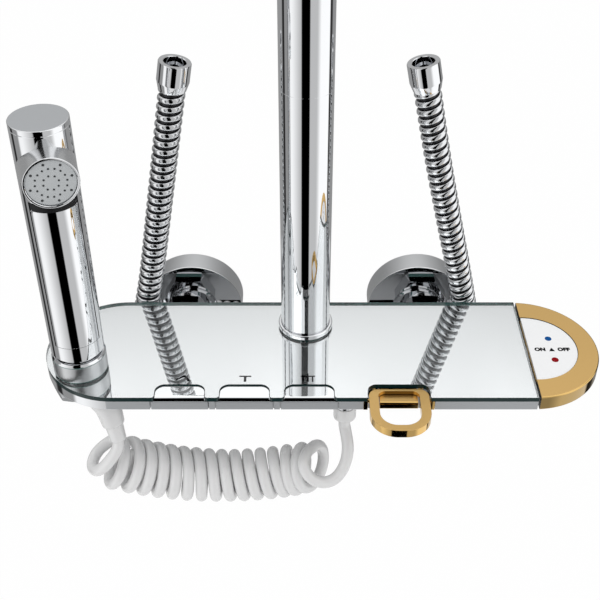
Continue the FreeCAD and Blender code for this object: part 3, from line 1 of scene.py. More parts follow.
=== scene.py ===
"""Looks of the wall-mounted shower mixer with its mirror shelf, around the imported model.

Each class below builds one sub-assembly of the mixer and dresses it in its finishes.
Sizes in the classes are millimetres. The frame has its origin on the wall face midway
between the inlets, +X to the right along the wall, +Y into the wall and +Z up.
"""

import json
import logging
import math
from contextlib import contextmanager
from dataclasses import dataclass
from enum import Enum
from typing import Callable, Iterator, Sequence

import bpy
from mathutils import Matrix, Vector

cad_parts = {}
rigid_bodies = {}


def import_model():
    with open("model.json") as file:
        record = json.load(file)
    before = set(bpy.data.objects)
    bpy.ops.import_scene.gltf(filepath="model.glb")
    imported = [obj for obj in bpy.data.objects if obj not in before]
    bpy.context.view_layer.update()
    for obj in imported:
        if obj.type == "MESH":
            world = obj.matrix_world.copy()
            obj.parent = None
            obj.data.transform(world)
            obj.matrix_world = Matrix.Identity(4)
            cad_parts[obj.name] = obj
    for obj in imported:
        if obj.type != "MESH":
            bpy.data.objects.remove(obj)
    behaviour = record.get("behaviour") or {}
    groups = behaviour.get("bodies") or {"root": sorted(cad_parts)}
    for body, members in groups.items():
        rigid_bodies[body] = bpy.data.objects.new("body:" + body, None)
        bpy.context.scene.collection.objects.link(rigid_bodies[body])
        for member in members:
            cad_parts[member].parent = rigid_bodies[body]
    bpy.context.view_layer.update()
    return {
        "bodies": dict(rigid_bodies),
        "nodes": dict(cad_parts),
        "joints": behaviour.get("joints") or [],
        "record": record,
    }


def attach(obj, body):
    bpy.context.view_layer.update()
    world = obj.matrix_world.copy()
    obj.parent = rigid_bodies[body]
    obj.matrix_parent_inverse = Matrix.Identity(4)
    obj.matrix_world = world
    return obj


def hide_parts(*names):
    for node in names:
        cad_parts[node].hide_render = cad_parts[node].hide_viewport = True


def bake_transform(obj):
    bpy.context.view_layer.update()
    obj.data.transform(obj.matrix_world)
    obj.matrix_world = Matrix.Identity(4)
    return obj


MM = 0.001
MERGE = 2e-6
NEAR = 0.01
FLAT = 0.995
LOG = logging.getLogger("shower_mixer")

Point = Sequence[float]
Rgb = tuple[float, float, float]
Test = Callable[[Vector, Vector], bool]

WHITE = (1.0, 1.0, 1.0, 1.0)
UP = Vector((0, 0, 1))
OUT_OF_WALL = Vector((0, -1, 0))
TO_RIGHT = Vector((1, 0, 0))


class Body(str, Enum):
    """Moving and fixed bodies that the pieces ride on."""

    FIXED = "fixed"
    HAND_SPRAY = "hand_spray"
    TRIGGER = "trigger"
    RING = "ring"
    HUB = "mixing_hub"
    LEVER = "lever"


class Slot(str, Enum):
    """Material slots of the record."""

    CHROME = "chrome"
    SATIN = "satin_chrome"
    GOLD = "gold"
    MIRROR = "mirror"
    BRASS = "brass"
    STEEL = "steel"
    HOSE_METAL = "hose_metal"
    WHITE_HOSE = "white_hose"
    INLAY = "white_inlay"
    NOZZLE = "nozzle_grey"
    LINER = "liner_grey"
    RUBBER = "rubber_black"


def linear(shade: float) -> float:
    """Linear value of a display shade from 0 to 1."""
    return shade / 12.92 if shade <= 0.04045 else ((shade + 0.055) / 1.055) ** 2.4


# Shader expressions


class Link:
    """A shader socket that can be used in arithmetic."""

    def __init__(self, wiring: "Wiring", socket: bpy.types.NodeSocket) -> None:
        """Keep the socket and the wiring it belongs to."""
        self.wiring = wiring
        self.socket = socket

    def _math(self, operation: str, first: object, second: object) -> "Link":
        """Result of one Math node on two values."""
        return self.wiring.node("ShaderNodeMath", {"operation": operation}, {0: first, 1: second})

    def __add__(self, other: object) -> "Link":
        """Sum."""
        return self._math("ADD", self, other)

    def __radd__(self, other: object) -> "Link":
        """Sum with a number on the left."""
        return self._math("ADD", other, self)

    def __sub__(self, other: object) -> "Link":
        """Difference."""
        return self._math("SUBTRACT", self, other)

    def __rsub__(self, other: object) -> "Link":
        """Difference with a number on the left."""
        return self._math("SUBTRACT", other, self)

    def __mul__(self, other: object) -> "Link":
        """Product."""
        return self._math("MULTIPLY", self, other)

    def __rmul__(self, other: object) -> "Link":
        """Product with a number on the left."""
        return self._math("MULTIPLY", other, self)

    def clamped(self) -> "Link":
        """Held between 0 and 1."""
        return self.wiring.node("ShaderNodeClamp", {}, {"Value": self})


class Wiring:
    """The node tree of one material or of the world."""

    def __init__(self, tree: bpy.types.NodeTree) -> None:
        """Start from an empty tree."""
        tree.nodes.clear()
        self.tree = tree

    def node(self, kind: str, settings: dict, inputs: dict, output: object = 0) -> Link:
        """Add a node.

        Args:
            kind: the node's type.
            settings: its properties, set first; "stops" fills a colour ramp.
            inputs: values or links for its sockets, by name or number.
            output: name or number of the output that is returned.

        Returns:
            The chosen output as a link.
        """
        made = self.tree.nodes.new(kind)
        for name, value in settings.items():
            if name == "stops":
                ramp = made.color_ramp.elements
                while len(ramp) > 1:
                    ramp.remove(ramp[-1])
                ramp[0].position, ramp[0].color = value[0][0], value[0][1]
                for place, colour in value[1:]:
                    ramp.new(place).color = colour
            else:
                setattr(made, name, value)
        for name, value in inputs.items():
            socket = made.inputs[name]
            if isinstance(value, Link):
                self.tree.links.new(value.socket, socket)
            else:
                socket.default_value = value
        return Link(self, made.outputs[output] if made.outputs else None)

    def mixed(self, share: object, first: object, second: object) -> Link:
        """Colour between two colours by a share from 0 to 1."""
        return self.node("ShaderNodeMix", {"data_type": "RGBA"}, {0: share, 6: first, 7: second}, 2)

    def object_point(self) -> Link:
        """Place on the piece, in its own coordinates."""
        return self.node("ShaderNodeTexCoord", {}, {}, "Object")

    def noise(self, scale: float, detail: float = 2.0, stretch: Rgb = (1, 1, 1)) -> Link:
        """Cloudy value round 0.5, with features of about one over the scale in metres."""
        where = self.node("ShaderNodeMapping", {}, {"Vector": self.object_point(), "Scale": stretch})
        return self.node("ShaderNodeTexNoise", {"noise_dimensions": "3D"},
                         {"Vector": where, "Scale": scale, "Detail": detail})

    def separated(self, vector: Link, axis: str) -> Link:
        """One part of a vector."""
        return self.node("ShaderNodeSeparateXYZ", {}, {"Vector": vector}, axis)

    def range(self, value: Link, low: float, high: float) -> Link:
        """Share from 0 to 1 of a value between two limits."""
        return self.node("ShaderNodeMapRange", {"clamp": True}, {
            "Value": value, "From Min": low, "From Max": high, "To Min": 0.0, "To Max": 1.0})

    def ray(self, kind: str) -> Link:
        """Whether the ray is of a kind."""
        return self.node("ShaderNodeLightPath", {}, {}, kind)

    def principled(self, inputs: dict) -> Link:
        """Principled surface with the given inputs."""
        return self.node("ShaderNodeBsdfPrincipled", {}, inputs)

    def finish(self, surface: Link, volume: Link | None = None,
               kind: str = "ShaderNodeOutputMaterial") -> None:
        """Join the surface, and a volume if there is one, to the output."""
        self.node(kind, {}, {"Surface": surface} | ({"Volume": volume} if volume else {}))


def rgba(colour: Rgb) -> tuple[float, float, float, float]:
    """Colour with full cover."""
    return (*colour, 1.0)


def new_material(name: str) -> tuple[bpy.types.Material, Wiring]:
    """New material and its empty tree."""
    material = bpy.data.materials.new(name)
    material.use_nodes = True
    return material, Wiring(material.node_tree)


# Finishes


@dataclass(frozen=True)
class Surface:
    """What every finish has: a name, and nodes that a material is made of."""

    name: str

    def build(self) -> bpy.types.Material:
        """Make the material."""
        material, wiring = new_material(self.name)
        self.wire(wiring)
        return material

    def wire(self, wiring: Wiring) -> None:
        """Set up the nodes."""
        raise NotImplementedError


@dataclass(frozen=True)
class Metal(Surface):
    """Plated or bare metal: colour, gloss, faint smears and a brushed or cast grain."""

    colour: Rgb
    roughness: float
    smear: float = 0.02
    tone: float = 0.03
    grain: float = 0.0
    grain_scale: float = 900.0
    stretch: Rgb = (1.0, 1.0, 1.0)
    metallic: float = 1.0
    cloud_scale: float = 38.0
    grain_share: float = 0.35

    def wire(self, wiring: Wiring) -> None:
        """Set up the nodes."""
        cloud = wiring.noise(self.cloud_scale, 3.0)
        fine = wiring.noise(self.grain_scale, 2.0, self.stretch)
        dark = tuple(channel * (1 - self.tone) for channel in self.colour)
        inputs = {
            "Base Color": wiring.mixed(cloud, rgba(dark), rgba(self.colour)),
            "Metallic": self.metallic,
            "Roughness": self.roughness + cloud * self.smear,
        }
        if self.grain:
            inputs["Roughness"] = inputs["Roughness"] + (fine - 0.5) * (self.roughness * self.grain_share)
            inputs["Normal"] = wiring.node("ShaderNodeBump", {}, {
                "Strength": 1.0, "Distance": self.grain * MM, "Height": fine})
        wiring.finish(wiring.principled(inputs))


@dataclass(frozen=True)
class Plastic(Surface):
    """Moulded plastic, rubber or enamel: colour, gloss, coat and a fine skin."""

    colour: Rgb
    roughness: float
    tone: float = 0.04
    grain: float = 0.01
    grain_scale: float = 1500.0
    coat: float = 0.0
    soft: float = 0.0
    shine: float = 0.5
    smear: float = 0.08
    cloud_scale: float = 60.0
    coat_roughness: float = 0.08
    soft_reach: float = 0.004
    soft_scale: float = 0.5

    def wire(self, wiring: Wiring) -> None:
        """Set up the nodes."""
        cloud = wiring.noise(self.cloud_scale, 3.0)
        fine = wiring.noise(self.grain_scale, 2.0)
        dark = tuple(channel * (1 - self.tone) for channel in self.colour)
        inputs = {
            "Base Color": wiring.mixed(cloud, rgba(dark), rgba(self.colour)),
            "Roughness": self.roughness + (cloud - 0.5) * self.smear,
            "Specular IOR Level": self.shine,
            "Coat Weight": self.coat,
            "Coat Roughness": self.coat_roughness,
            "Subsurface Weight": self.soft,
            "Subsurface Radius": (self.soft_reach,) * 3,
            "Subsurface Scale": self.soft_scale,
            "Normal": wiring.node("ShaderNodeBump", {}, {
                "Strength": 1.0, "Distance": self.grain * MM, "Height": fine}),
        }
        wiring.finish(wiring.principled(inputs))


@dataclass(frozen=True)
class Glass(Surface):
    """Clear float glass, green along its depth."""

    tint: Rgb = (0.3, 0.8, 0.75)
    depth: float = 2.5
    cloud_scale: float = 30.0
    smear: float = 0.01
    refraction: float = 1.5

    def wire(self, wiring: Wiring) -> None:
        """Set up the nodes."""
        cloud = wiring.noise(self.cloud_scale)
        surface = wiring.principled({
            "Base Color": WHITE, "Roughness": cloud * self.smear,
            "Transmission Weight": 1.0, "IOR": self.refraction})
        volume = wiring.node("ShaderNodeVolumeAbsorption", {}, {
            "Color": rgba(self.tint), "Density": self.depth})
        wiring.finish(surface, volume)


@dataclass(frozen=True)
class Silvering(Surface):
    """Mirror coat under the glass, with a painted veil of light: partly matt towards the front, more so in
    two bands to the sides.
    """

    colour: Rgb = (0.925, 0.945, 0.955)
    back: float = -0.038
    front: float = -0.128
    clear: float = 0.93
    veil: float = 0.075
    haze: float = 0.09
    hazy: tuple[tuple[float, float], ...] = ((0.02, 0.0), (0.045, 1.0), (0.095, 1.0), (0.115, 0.0))
    reach: float = 0.2
    cloud_scale: float = 20.0
    smear: float = 0.012

    def wire(self, wiring: Wiring) -> None:
        """Set up the nodes."""
        cloud = wiring.noise(self.cloud_scale)
        place = wiring.object_point()
        depth = wiring.range(wiring.separated(place, "Y"), self.back, self.front)
        aside = wiring.node("ShaderNodeMath", {"operation": "ABSOLUTE"}, {0: wiring.separated(place, "X")})
        sides = wiring.node("ShaderNodeValToRGB", {
            "stops": [(spot / self.reach, rgba((share,) * 3)) for spot, share in self.hazy]},
            {"Fac": aside * (1 / self.reach)})
        # Lower metallic share towards the front and in the side bands: a painted veil of light over the
        # reflections.
        wiring.finish(wiring.principled({
            "Base Color": rgba(self.colour), "Roughness": cloud * self.smear,
            "Metallic": self.clear - depth * (sides * self.haze + self.veil)}))


@dataclass(frozen=True)
class GroundEdge(Surface):
    """Ground edge of the glass in deep green, with painted shade in front and painted light that makes it
    paler towards the back.
    """

    front: Rgb = (0.004, 0.019, 0.019)
    back: Rgb = (0.055, 0.15, 0.135)
    deep_until: float = -0.1
    pale_from: float = -0.042
    roughness: float = 0.16
    smear: float = 0.06
    tone: float = 0.08
    shine: float = 0.35
    cloud_scale: float = 400.0

    def wire(self, wiring: Wiring) -> None:
        """Set up the nodes."""
        # Painted shade in front turning into painted light at the back, by the face's place from front to
        # back.
        row = wiring.separated(wiring.object_point(), "Y")
        turn = wiring.range(row, self.deep_until, self.pale_from)
        cloud = wiring.noise(self.cloud_scale, 3.0)
        share = (turn + (cloud - 0.5) * self.tone).clamped()
        wiring.finish(wiring.principled({
            "Base Color": wiring.mixed(share, rgba(self.front), rgba(self.back)),
            "Roughness": self.roughness + cloud * self.smear, "Specular IOR Level": self.shine}))


class Finish(Enum):
    """Every finish of the mixer."""

    CHROME = Metal("polished_chrome", (0.80, 0.81, 0.825), 0.02, smear=0.015)
    SOFT_CHROME = Metal("soft_chrome", (0.74, 0.75, 0.76), 0.2, smear=0.02)
    SATIN = Metal("satin_chrome", (0.60, 0.61, 0.62), 0.28, smear=0.04)
    SKIRT = Metal("fine_satin_chrome", (0.44, 0.455, 0.47), 0.36, smear=0.03, metallic=0.45)
    GOLD_SATIN = Metal("satin_gold", (0.665, 0.435, 0.165), 0.33, smear=0.03)
    GOLD = Metal("polished_gold", (0.70, 0.46, 0.165), 0.045, smear=0.02)
    # Darker copy of the polished gold: painted shade for the lever's upright sides.
    GOLD_DEEP = Metal("polished_gold_painted_shade", (0.40, 0.275, 0.11), 0.05, smear=0.02)
    SILVERING = Silvering("silvering")
    EDGE = GroundEdge("ground_glass_edge_painted_shading")
    PLATING = Metal("dull_plating", (0.52, 0.53, 0.54), 0.34, smear=0.08, tone=0.08)
    STEEL = Metal("turned_steel", (0.56, 0.56, 0.575), 0.24, grain=0.004, stretch=(1.0, 1.0, 5.0))
    HOSE_METAL = Metal("hose_steel", (0.74, 0.75, 0.765), 0.07, smear=0.05, tone=0.08)
    # Near-black painted shade for the grooves between the hose's windings.
    HOSE_GROOVE = Metal("hose_groove", (0.07, 0.07, 0.075), 0.35, smear=0.1, tone=0.2)
    WHITE_HOSE = Plastic("white_hose", (0.77, 0.77, 0.77), 0.26, coat=0.45, soft=0.15)
    INLAY = Plastic("white_enamel", (0.86, 0.865, 0.87), 0.35, coat=0.05, tone=0.02, grain=0.002)
    NOZZLE = Plastic("nozzle_plate", (0.47, 0.49, 0.50), 0.45, grain=0.004)
    DOT = Plastic("nozzle_tips", (0.045, 0.048, 0.05), 0.6, shine=0.1)
    LINER = Plastic("grey_acetal", (0.12, 0.12, 0.13), 0.45)
    # Near-black painted shade, laid on gap walls, slots, bores and recesses where shade falls.
    RECESS = Plastic("painted_shade_black", (0.008, 0.008, 0.009), 0.4, shine=0.2, grain=0.004)
    # Sea-green bands on the dock collar; the one at the glass is a painted reflection of the glass edge.
    GASKET = Plastic("sea_green_painted_bands", (0.12, 0.22, 0.205), 0.35)
    RUBBER = Plastic("black_rubber", (0.035, 0.035, 0.035), 0.7, grain=0.03)
    INK = Plastic("black_ink", (0.006, 0.006, 0.007), 0.6, shine=0.05, grain=0.002)
    BLUE = Plastic("blue_mark", (0.0, 0.075, 0.27), 0.6, shine=0.08, grain=0.002)
    RED = Plastic("red_mark", (0.25, 0.0, 0.003), 0.6, shine=0.08, grain=0.002)
    GLASS = Glass("shelf_glass")


SLOT_FINISH = {
    Slot.CHROME: Finish.CHROME, Slot.SATIN: Finish.SATIN, Slot.GOLD: Finish.GOLD,
    Slot.MIRROR: Finish.SILVERING, Slot.BRASS: Finish.PLATING, Slot.STEEL: Finish.STEEL,
    Slot.HOSE_METAL: Finish.HOSE_METAL, Slot.WHITE_HOSE: Finish.WHITE_HOSE,
    Slot.INLAY: Finish.INLAY, Slot.NOZZLE: Finish.NOZZLE, Slot.LINER: Finish.LINER,
    Slot.RUBBER: Finish.RUBBER,
}


class Paints:
    """The materials, each made once."""

    def __init__(self) -> None:
        """Start with none made."""
        self.made: dict[Finish, bpy.types.Material] = {}

    def get(self, finish: Finish) -> bpy.types.Material:
        """The material of a finish."""
        if finish not in self.made:
            self.made[finish] = finish.value.build()
        return self.made[finish]


PAINTS = Paints()


# Bench work


def metres(point: Point) -> Vector:
    """A point in millimetres as a vector in metres."""
    return Vector(point) * MM


def arc(first: Point, middle: Point, last: Point, steps: int) -> list[tuple[float, float]]:
    """Points on the circle through three points.

    Args:
        first: where the arc starts.
        middle: a point it passes.
        last: where it ends.
        steps: number of straight steps.

    Returns:
        The points after the first, up to the last.
    """
    (ax, ay), (bx, by), (cx, cy) = first, middle, last
    scale = 2 * (ax * (by - cy) + bx * (cy - ay) + cx * (ay - by))
    a2, b2, c2 = ax * ax + ay * ay, bx * bx + by * by, cx * cx + cy * cy
    ux = (a2 * (by - cy) + b2 * (cy - ay) + c2 * (ay - by)) / scale
    uy = (a2 * (cx - bx) + b2 * (ax - cx) + c2 * (bx - ax)) / scale
    radius = math.hypot(ax - ux, ay - uy)
    start = math.atan2(ay - uy, ax - ux)
    via = (math.atan2(by - uy, bx - ux) - start) % math.tau
    sweep = (math.atan2(cy - uy, cx - ux) - start) % math.tau
    if via > sweep:
        sweep -= math.tau
    return [(ux + radius * math.cos(start + sweep * step / steps),
             uy + radius * math.sin(start + sweep * step / steps)) for step in range(1, steps + 1)]


def circle(centre: Point, radius: float, steps: int) -> list[tuple[float, float]]:
    """Points round a circle."""
    return [(centre[0] + radius * math.cos(math.tau * step / steps),
             centre[1] + radius * math.sin(math.tau * step / steps)) for step in range(steps)]


def quarter_round(radius: float, level: float, edge: float, step: int,
                  lower: bool = False) -> list[tuple[float, float]]:
    """Profile of a rounded edge between a side and a flat end, from low to high.

    Args:
        radius: radius of the side.
        level: level of the flat end.
        edge: size of the round.
        step: degrees between its points.
        lower: the flat end is the lower one.

    Returns:
        Pairs of radius and level.
    """
    way = -1 if lower else 1
    line = [(radius - edge * (1 - math.cos(math.radians(turn))),
             level - way * edge * (1 - math.sin(math.radians(turn)))) for turn in range(0, 91, step)]
    return line[::-1] if lower else line


def clear() -> None:
    """Deselect everything."""
    bpy.ops.object.select_all(action="DESELECT")


def only(piece: bpy.types.Object) -> None:
    """Select one piece and make it the active one."""
    clear()
    piece.select_set(True)
    bpy.context.view_layer.objects.active = piece


def settled(piece: bpy.types.Object) -> bpy.types.Object:
    """Apply a piece's place, turn and size to its mesh."""
    only(piece)
    bpy.ops.object.transform_apply(location=True, rotation=True, scale=True)
    return piece


def linked(name: str, data: bpy.types.ID) -> bpy.types.Object:
    """New object in the scene that shows a curve or a mesh."""
    piece = bpy.data.objects.new(name, data)
    bpy.context.scene.collection.objects.link(piece)
    return piece


@contextmanager
def editing(piece: bpy.types.Object, mode: str = "EDGE") -> Iterator[bpy.types.Object]:
    """Edit mode on one piece, with all of it selected."""
    only(piece)
    bpy.ops.object.mode_set(mode="EDIT")
    bpy.ops.mesh.select_mode(type=mode)
    bpy.ops.mesh.select_all(action="SELECT")
    try:
        yield piece
    finally:
        bpy.ops.object.mode_set(mode="OBJECT")


def apply_modifier(piece: bpy.types.Object, kind: str, **settings: object) -> None:
    """Add a modifier, set it and apply it."""
    only(piece)
    bpy.ops.object.modifier_add(type=kind)
    modifier = piece.modifiers[-1]
    for name, value in settings.items():
        setattr(modifier, name, value)
    bpy.ops.object.modifier_apply(modifier=modifier.name)


def aim(piece: bpy.types.Object, start: Point, way: Vector, turn: float = 0.0) -> bpy.types.Object:
    """Turn a piece made along +Z to a direction, put its foot at a point and apply both.

    Args:
        piece: the piece, still at the origin.
        start: where its foot goes, in millimetres.
        way: the direction +Z is turned to.
        turn: turn about its own axis first, in degrees.

    Returns:
        The same piece.
    """
    turned_way = UP.rotation_difference(way).to_matrix().to_4x4()
    piece.matrix_world = (Matrix.Translation(metres(start)) @ turned_way
                          @ Matrix.Rotation(math.radians(turn), 4, "Z"))
    return settled(piece)


def turned(name: str, profile: Sequence[Point], start: Point = (0, 0, 0), way: Vector = UP,
           segments: int = 128, hollow: bool = False, turn: float = 0.0) -> bpy.types.Object:
    """Turn a round piece by drawing a circle out station by station.

    Args:
        name: the piece's name.
        profile: pairs of radius and height along the axis, in millimetres.
        start: the foot of the axis.
        way: direction of the axis.
        segments: facets round the axis.
        hollow: the profile closes on itself, round a bore.
        turn: turn about the axis, in degrees.

    Returns:
        The piece, in its place.
    """
    stations = list(profile) + ([profile[0]] if hollow else [])
    radius, height = stations[0]
    clear()
    bpy.ops.mesh.primitive_circle_add(vertices=segments, radius=radius * MM,
                                      fill_type="NOTHING" if hollow else "NGON")
    piece = bpy.context.object
    piece.name = piece.data.name = name
    with editing(piece):
        bpy.ops.transform.translate(value=(0, 0, height * MM))
        for new_radius, new_height in stations[1:]:
            bpy.ops.mesh.extrude_region_move(
                TRANSFORM_OT_translate={"value": (0, 0, (new_height - height) * MM)})
            share = new_radius / radius
            bpy.ops.transform.resize(value=(share, share, 1), center_override=(0, 0, new_height * MM))
            radius, height = new_radius, new_height
        bpy.ops.mesh.select_all(action="SELECT")
        bpy.ops.mesh.remove_doubles(threshold=MERGE)
        bpy.ops.mesh.normals_make_consistent(inside=False)
    return aim(piece, start, way, turn)


def cut_out(name: str, loops: Sequence[Sequence[Point]], low: float, high: float) -> bpy.types.Object:
    """Cut a flat piece from a plate along its outline and its holes.

    Args:
        name: the piece's name.
        loops: the outline, then each hole, as points in the plane.
        low: level of the lower face.
        high: level of the upper face.

    Returns:
        The piece, in its place.
    """
    curve = bpy.data.curves.new(name, "CURVE")
    curve.dimensions = "2D"
    curve.fill_mode = "BOTH"
    curve.extrude = (high - low) / 2 * MM
    for loop in loops:
        spline = curve.splines.new("POLY")
        spline.points.add(len(loop) - 1)
        for place, point in zip(spline.points, loop):
            place.co = (point[0] * MM, point[1] * MM, 0, 1)
        spline.use_cyclic_u = True
    piece = linked(name, curve)
    piece.location = (0, 0, (low + high) / 2 * MM)
    only(piece)
    bpy.ops.object.convert(target="MESH")
    piece = bpy.context.object
    with editing(piece):
        bpy.ops.mesh.remove_doubles(threshold=MERGE)
        bpy.ops.mesh.dissolve_limited(angle_limit=math.radians(0.2))
        bpy.ops.mesh.normals_make_consistent(inside=False)
    return settled(piece)


def block(name: str, low: Point, high: Point) -> bpy.types.Object:
    """Square block between two corners."""
    clear()
    middle = (metres(low) + metres(high)) / 2
    bpy.ops.mesh.primitive_cube_add(size=1, location=middle, scale=metres(high) - metres(low))
    piece = bpy.context.object
    piece.name = piece.data.name = name
    return settled(piece)


def carve(piece: bpy.types.Object, cutter: bpy.types.Object, operation: str = "DIFFERENCE") -> None:
    """Cut, join or keep what is common with another shape, which is used up."""
    apply_modifier(piece, "BOOLEAN", operation=operation, object=cutter, solver="EXACT")
    bpy.data.objects.remove(cutter)


def bevelled(piece: bpy.types.Object, width: float, segments: int = 2, angle: float = 40.0) -> None:
    """Round every edge sharper than an angle."""
    apply_modifier(piece, "BEVEL", width=width * MM, segments=segments, limit_method="ANGLE",
                   angle_limit=math.radians(angle), use_clamp_overlap=True)


def round_edges(piece: bpy.types.Object, chosen: Test, width: float, segments: int) -> None:
    """Round the edges that a test picks out.

    Args:
        piece: the piece to work on.
        chosen: test on both ends of an edge, in millimetres.
        width: size of the round.
        segments: steps across it.
    """
    with editing(piece):
        bpy.ops.mesh.select_all(action="DESELECT")
    for edge in piece.data.edges:
        first, last = (piece.data.vertices[index].co / MM for index in edge.vertices)
        edge.select = chosen(first, last)
    only(piece)
    bpy.ops.object.mode_set(mode="EDIT")
    bpy.ops.mesh.bevel(offset=width * MM, segments=segments, affect="EDGES", clamp_overlap=True)
    bpy.ops.object.mode_set(mode="OBJECT")


def on_top(level: float) -> Test:
    """Test for edges at a level or above."""
    return lambda first, last: min(first.z, last.z) > level - NEAR


def smoothed(piece: bpy.types.Object, angle: float = 32.0) -> None:
    """Shade smooth up to an angle and keep the flats flat."""
    only(piece)
    bpy.ops.object.shade_smooth_by_angle(angle=math.radians(angle))
    apply_modifier(piece, "WEIGHTED_NORMAL", mode="FACE_AREA", weight=50, keep_sharp=True)


def joined(name: str, pieces: Sequence[bpy.types.Object]) -> bpy.types.Object:
    """Join pieces into one."""
    only(pieces[0])
    for piece in pieces[1:]:
        piece.select_set(True)
    bpy.ops.object.join()
    whole = bpy.context.object
    whole.name = whole.data.name = name
    return whole


def smooth_line(name: str, points: Sequence[Point], resolution: int) -> bpy.types.Object:
    """Smooth line that points steer.

    Args:
        name: the line's name.
        points: what steers it, in millimetres; it starts and ends on the outer ones.
        resolution: steps between two points.

    Returns:
        The line, a bare curve.
    """
    curve = bpy.data.curves.new(name, "CURVE")
    curve.dimensions = "3D"
    curve.resolution_u = resolution
    spline = curve.splines.new("NURBS")
    spline.points.add(len(points) - 1)
    for place, point in zip(spline.points, points):
        place.co = (*metres(point), 1)
    spline.order_u = 3
    spline.use_endpoint_u = True
    return linked(name, curve)


def bent(piece: bpy.types.Object, points: Sequence[Point]) -> None:
    """Bend a piece made along +Z from the origin so that it follows a smooth line.

    Args:
        piece: the piece.
        points: points that steer the line, in millimetres.
    """
    line = smooth_line("line", points, 24)
    apply_modifier(piece, "CURVE", object=line, deform_axis="POS_Z")
    bpy.data.objects.remove(line)


def hex_nut(name: str, flats: float, length: float, bore: float, start: Point,
            way: Vector, countersink: float = 0.5, face_gap: float = 0.2) -> bpy.types.Object:
    """Hexagonal nut with its corners turned round at both ends.

    Args:
        name: the piece's name.
        flats: width across flats.
        length: length along the axis.
        bore: radius of the hole.
        start: foot of the axis.
        way: direction of the axis.
        countersink: size of the bore's sloped edges.
        face_gap: from the end faces' rims to the flats.

    Returns:
        The nut, in its place.
    """
    corner = flats / math.sqrt(3)
    lift = (corner - flats / 2) / 2
    nut = turned(name, [(corner, 0), (corner, length)], start, way, segments=6, turn=30)
    mouth, face, outside = bore + countersink, flats / 2 - face_gap, corner + 0.1
    shape = turned(name + "_turning", [
        (mouth, 0), (face, 0), (outside, lift), (outside, length - lift), (face, length),
        (mouth, length), (bore, length - countersink), (bore, countersink)], start, way, hollow=True)
    carve(nut, shape, "INTERSECT")
    bevelled(nut, 0.3, 2, 35)
    return nut


@dataclass
class SubAssembly:
    """Shared work of every sub-assembly: fitting its pieces to the frame."""

    frame: dict

    def slot_of(self, node: str) -> Slot:
        """The slot that the record gives a node."""
        return next(Slot(part["material_slot"]) for part in self.frame["record"]["subparts"]
                    if part["node"] == node)

    def fit(self, piece: bpy.types.Object, body: Body | str, nodes: Sequence[str],
            slot: Slot | None = None, finish: Finish | None = None, smooth: bool = True) -> None:
        """Dress a piece and fix it to its body.

        Args:
            piece: the finished mesh.
            body: what it rides on.
            nodes: the CAD nodes it stands for.
            slot: the record's slot of its finish, if it isn't that of its first node.
            finish: its finish, if it isn't the slot's usual one.
            smooth: shade it smooth by angle.
        """
        slot = slot or self.slot_of(nodes[0])
        if smooth:
            smoothed(piece)
        if not piece.data.materials:
            piece.data.materials.append(PAINTS.get(finish or SLOT_FINISH[slot]))
        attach(piece, str(getattr(body, "value", body)))
        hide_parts(*nodes)

    def eased(self, node: str, width: float = 0.3, name: str | None = None) -> bpy.types.Object:
        """Copy a node's shape, clean it and ease its edges.

        Args:
            node: the CAD node.
            width: size of the eased edges.
            name: name of the copy.

        Returns:
            The copy, not yet dressed.
        """
        source = self.frame["nodes"][node]
        piece = linked(name or node + "_finished", source.data.copy())
        piece.data.materials.clear()
        only(piece)
        bpy.ops.mesh.customdata_custom_splitnormals_clear()
        with editing(piece):
            bpy.ops.mesh.remove_doubles(threshold=MERGE)
            bpy.ops.mesh.dissolve_limited(angle_limit=math.radians(0.5))
        if width:
            bevelled(piece, width, 2, 50)
        return piece

    def carry_over(self, nodes: dict[str, float], body: Body | str) -> None:
        """Fit eased copies of nodes in their slots' own finishes.

        Args:
            nodes: CAD nodes with the width of their eased edges.
            body: what they ride on.
        """
        for node, width in nodes.items():
            self.fit(self.eased(node, width), body, [node])

    def paint(self, piece: bpy.types.Object, finish: Finish, others: dict[Finish, Test]) -> None:
        """Give a piece its finish, and other finishes on the faces that a test picks.

        Args:
            piece: the piece.
            finish: what covers it.
            others: tests on a face's centre, in millimetres, and normal.
        """
        piece.data.materials.clear()
        piece.data.materials.append(PAINTS.get(finish))
        for index, (other, chosen) in enumerate(others.items(), start=1):
            piece.data.materials.append(PAINTS.get(other))
            for face in piece.data.polygons:
                if chosen(face.center / MM, face.normal):
                    face.material_index = index


# Studio


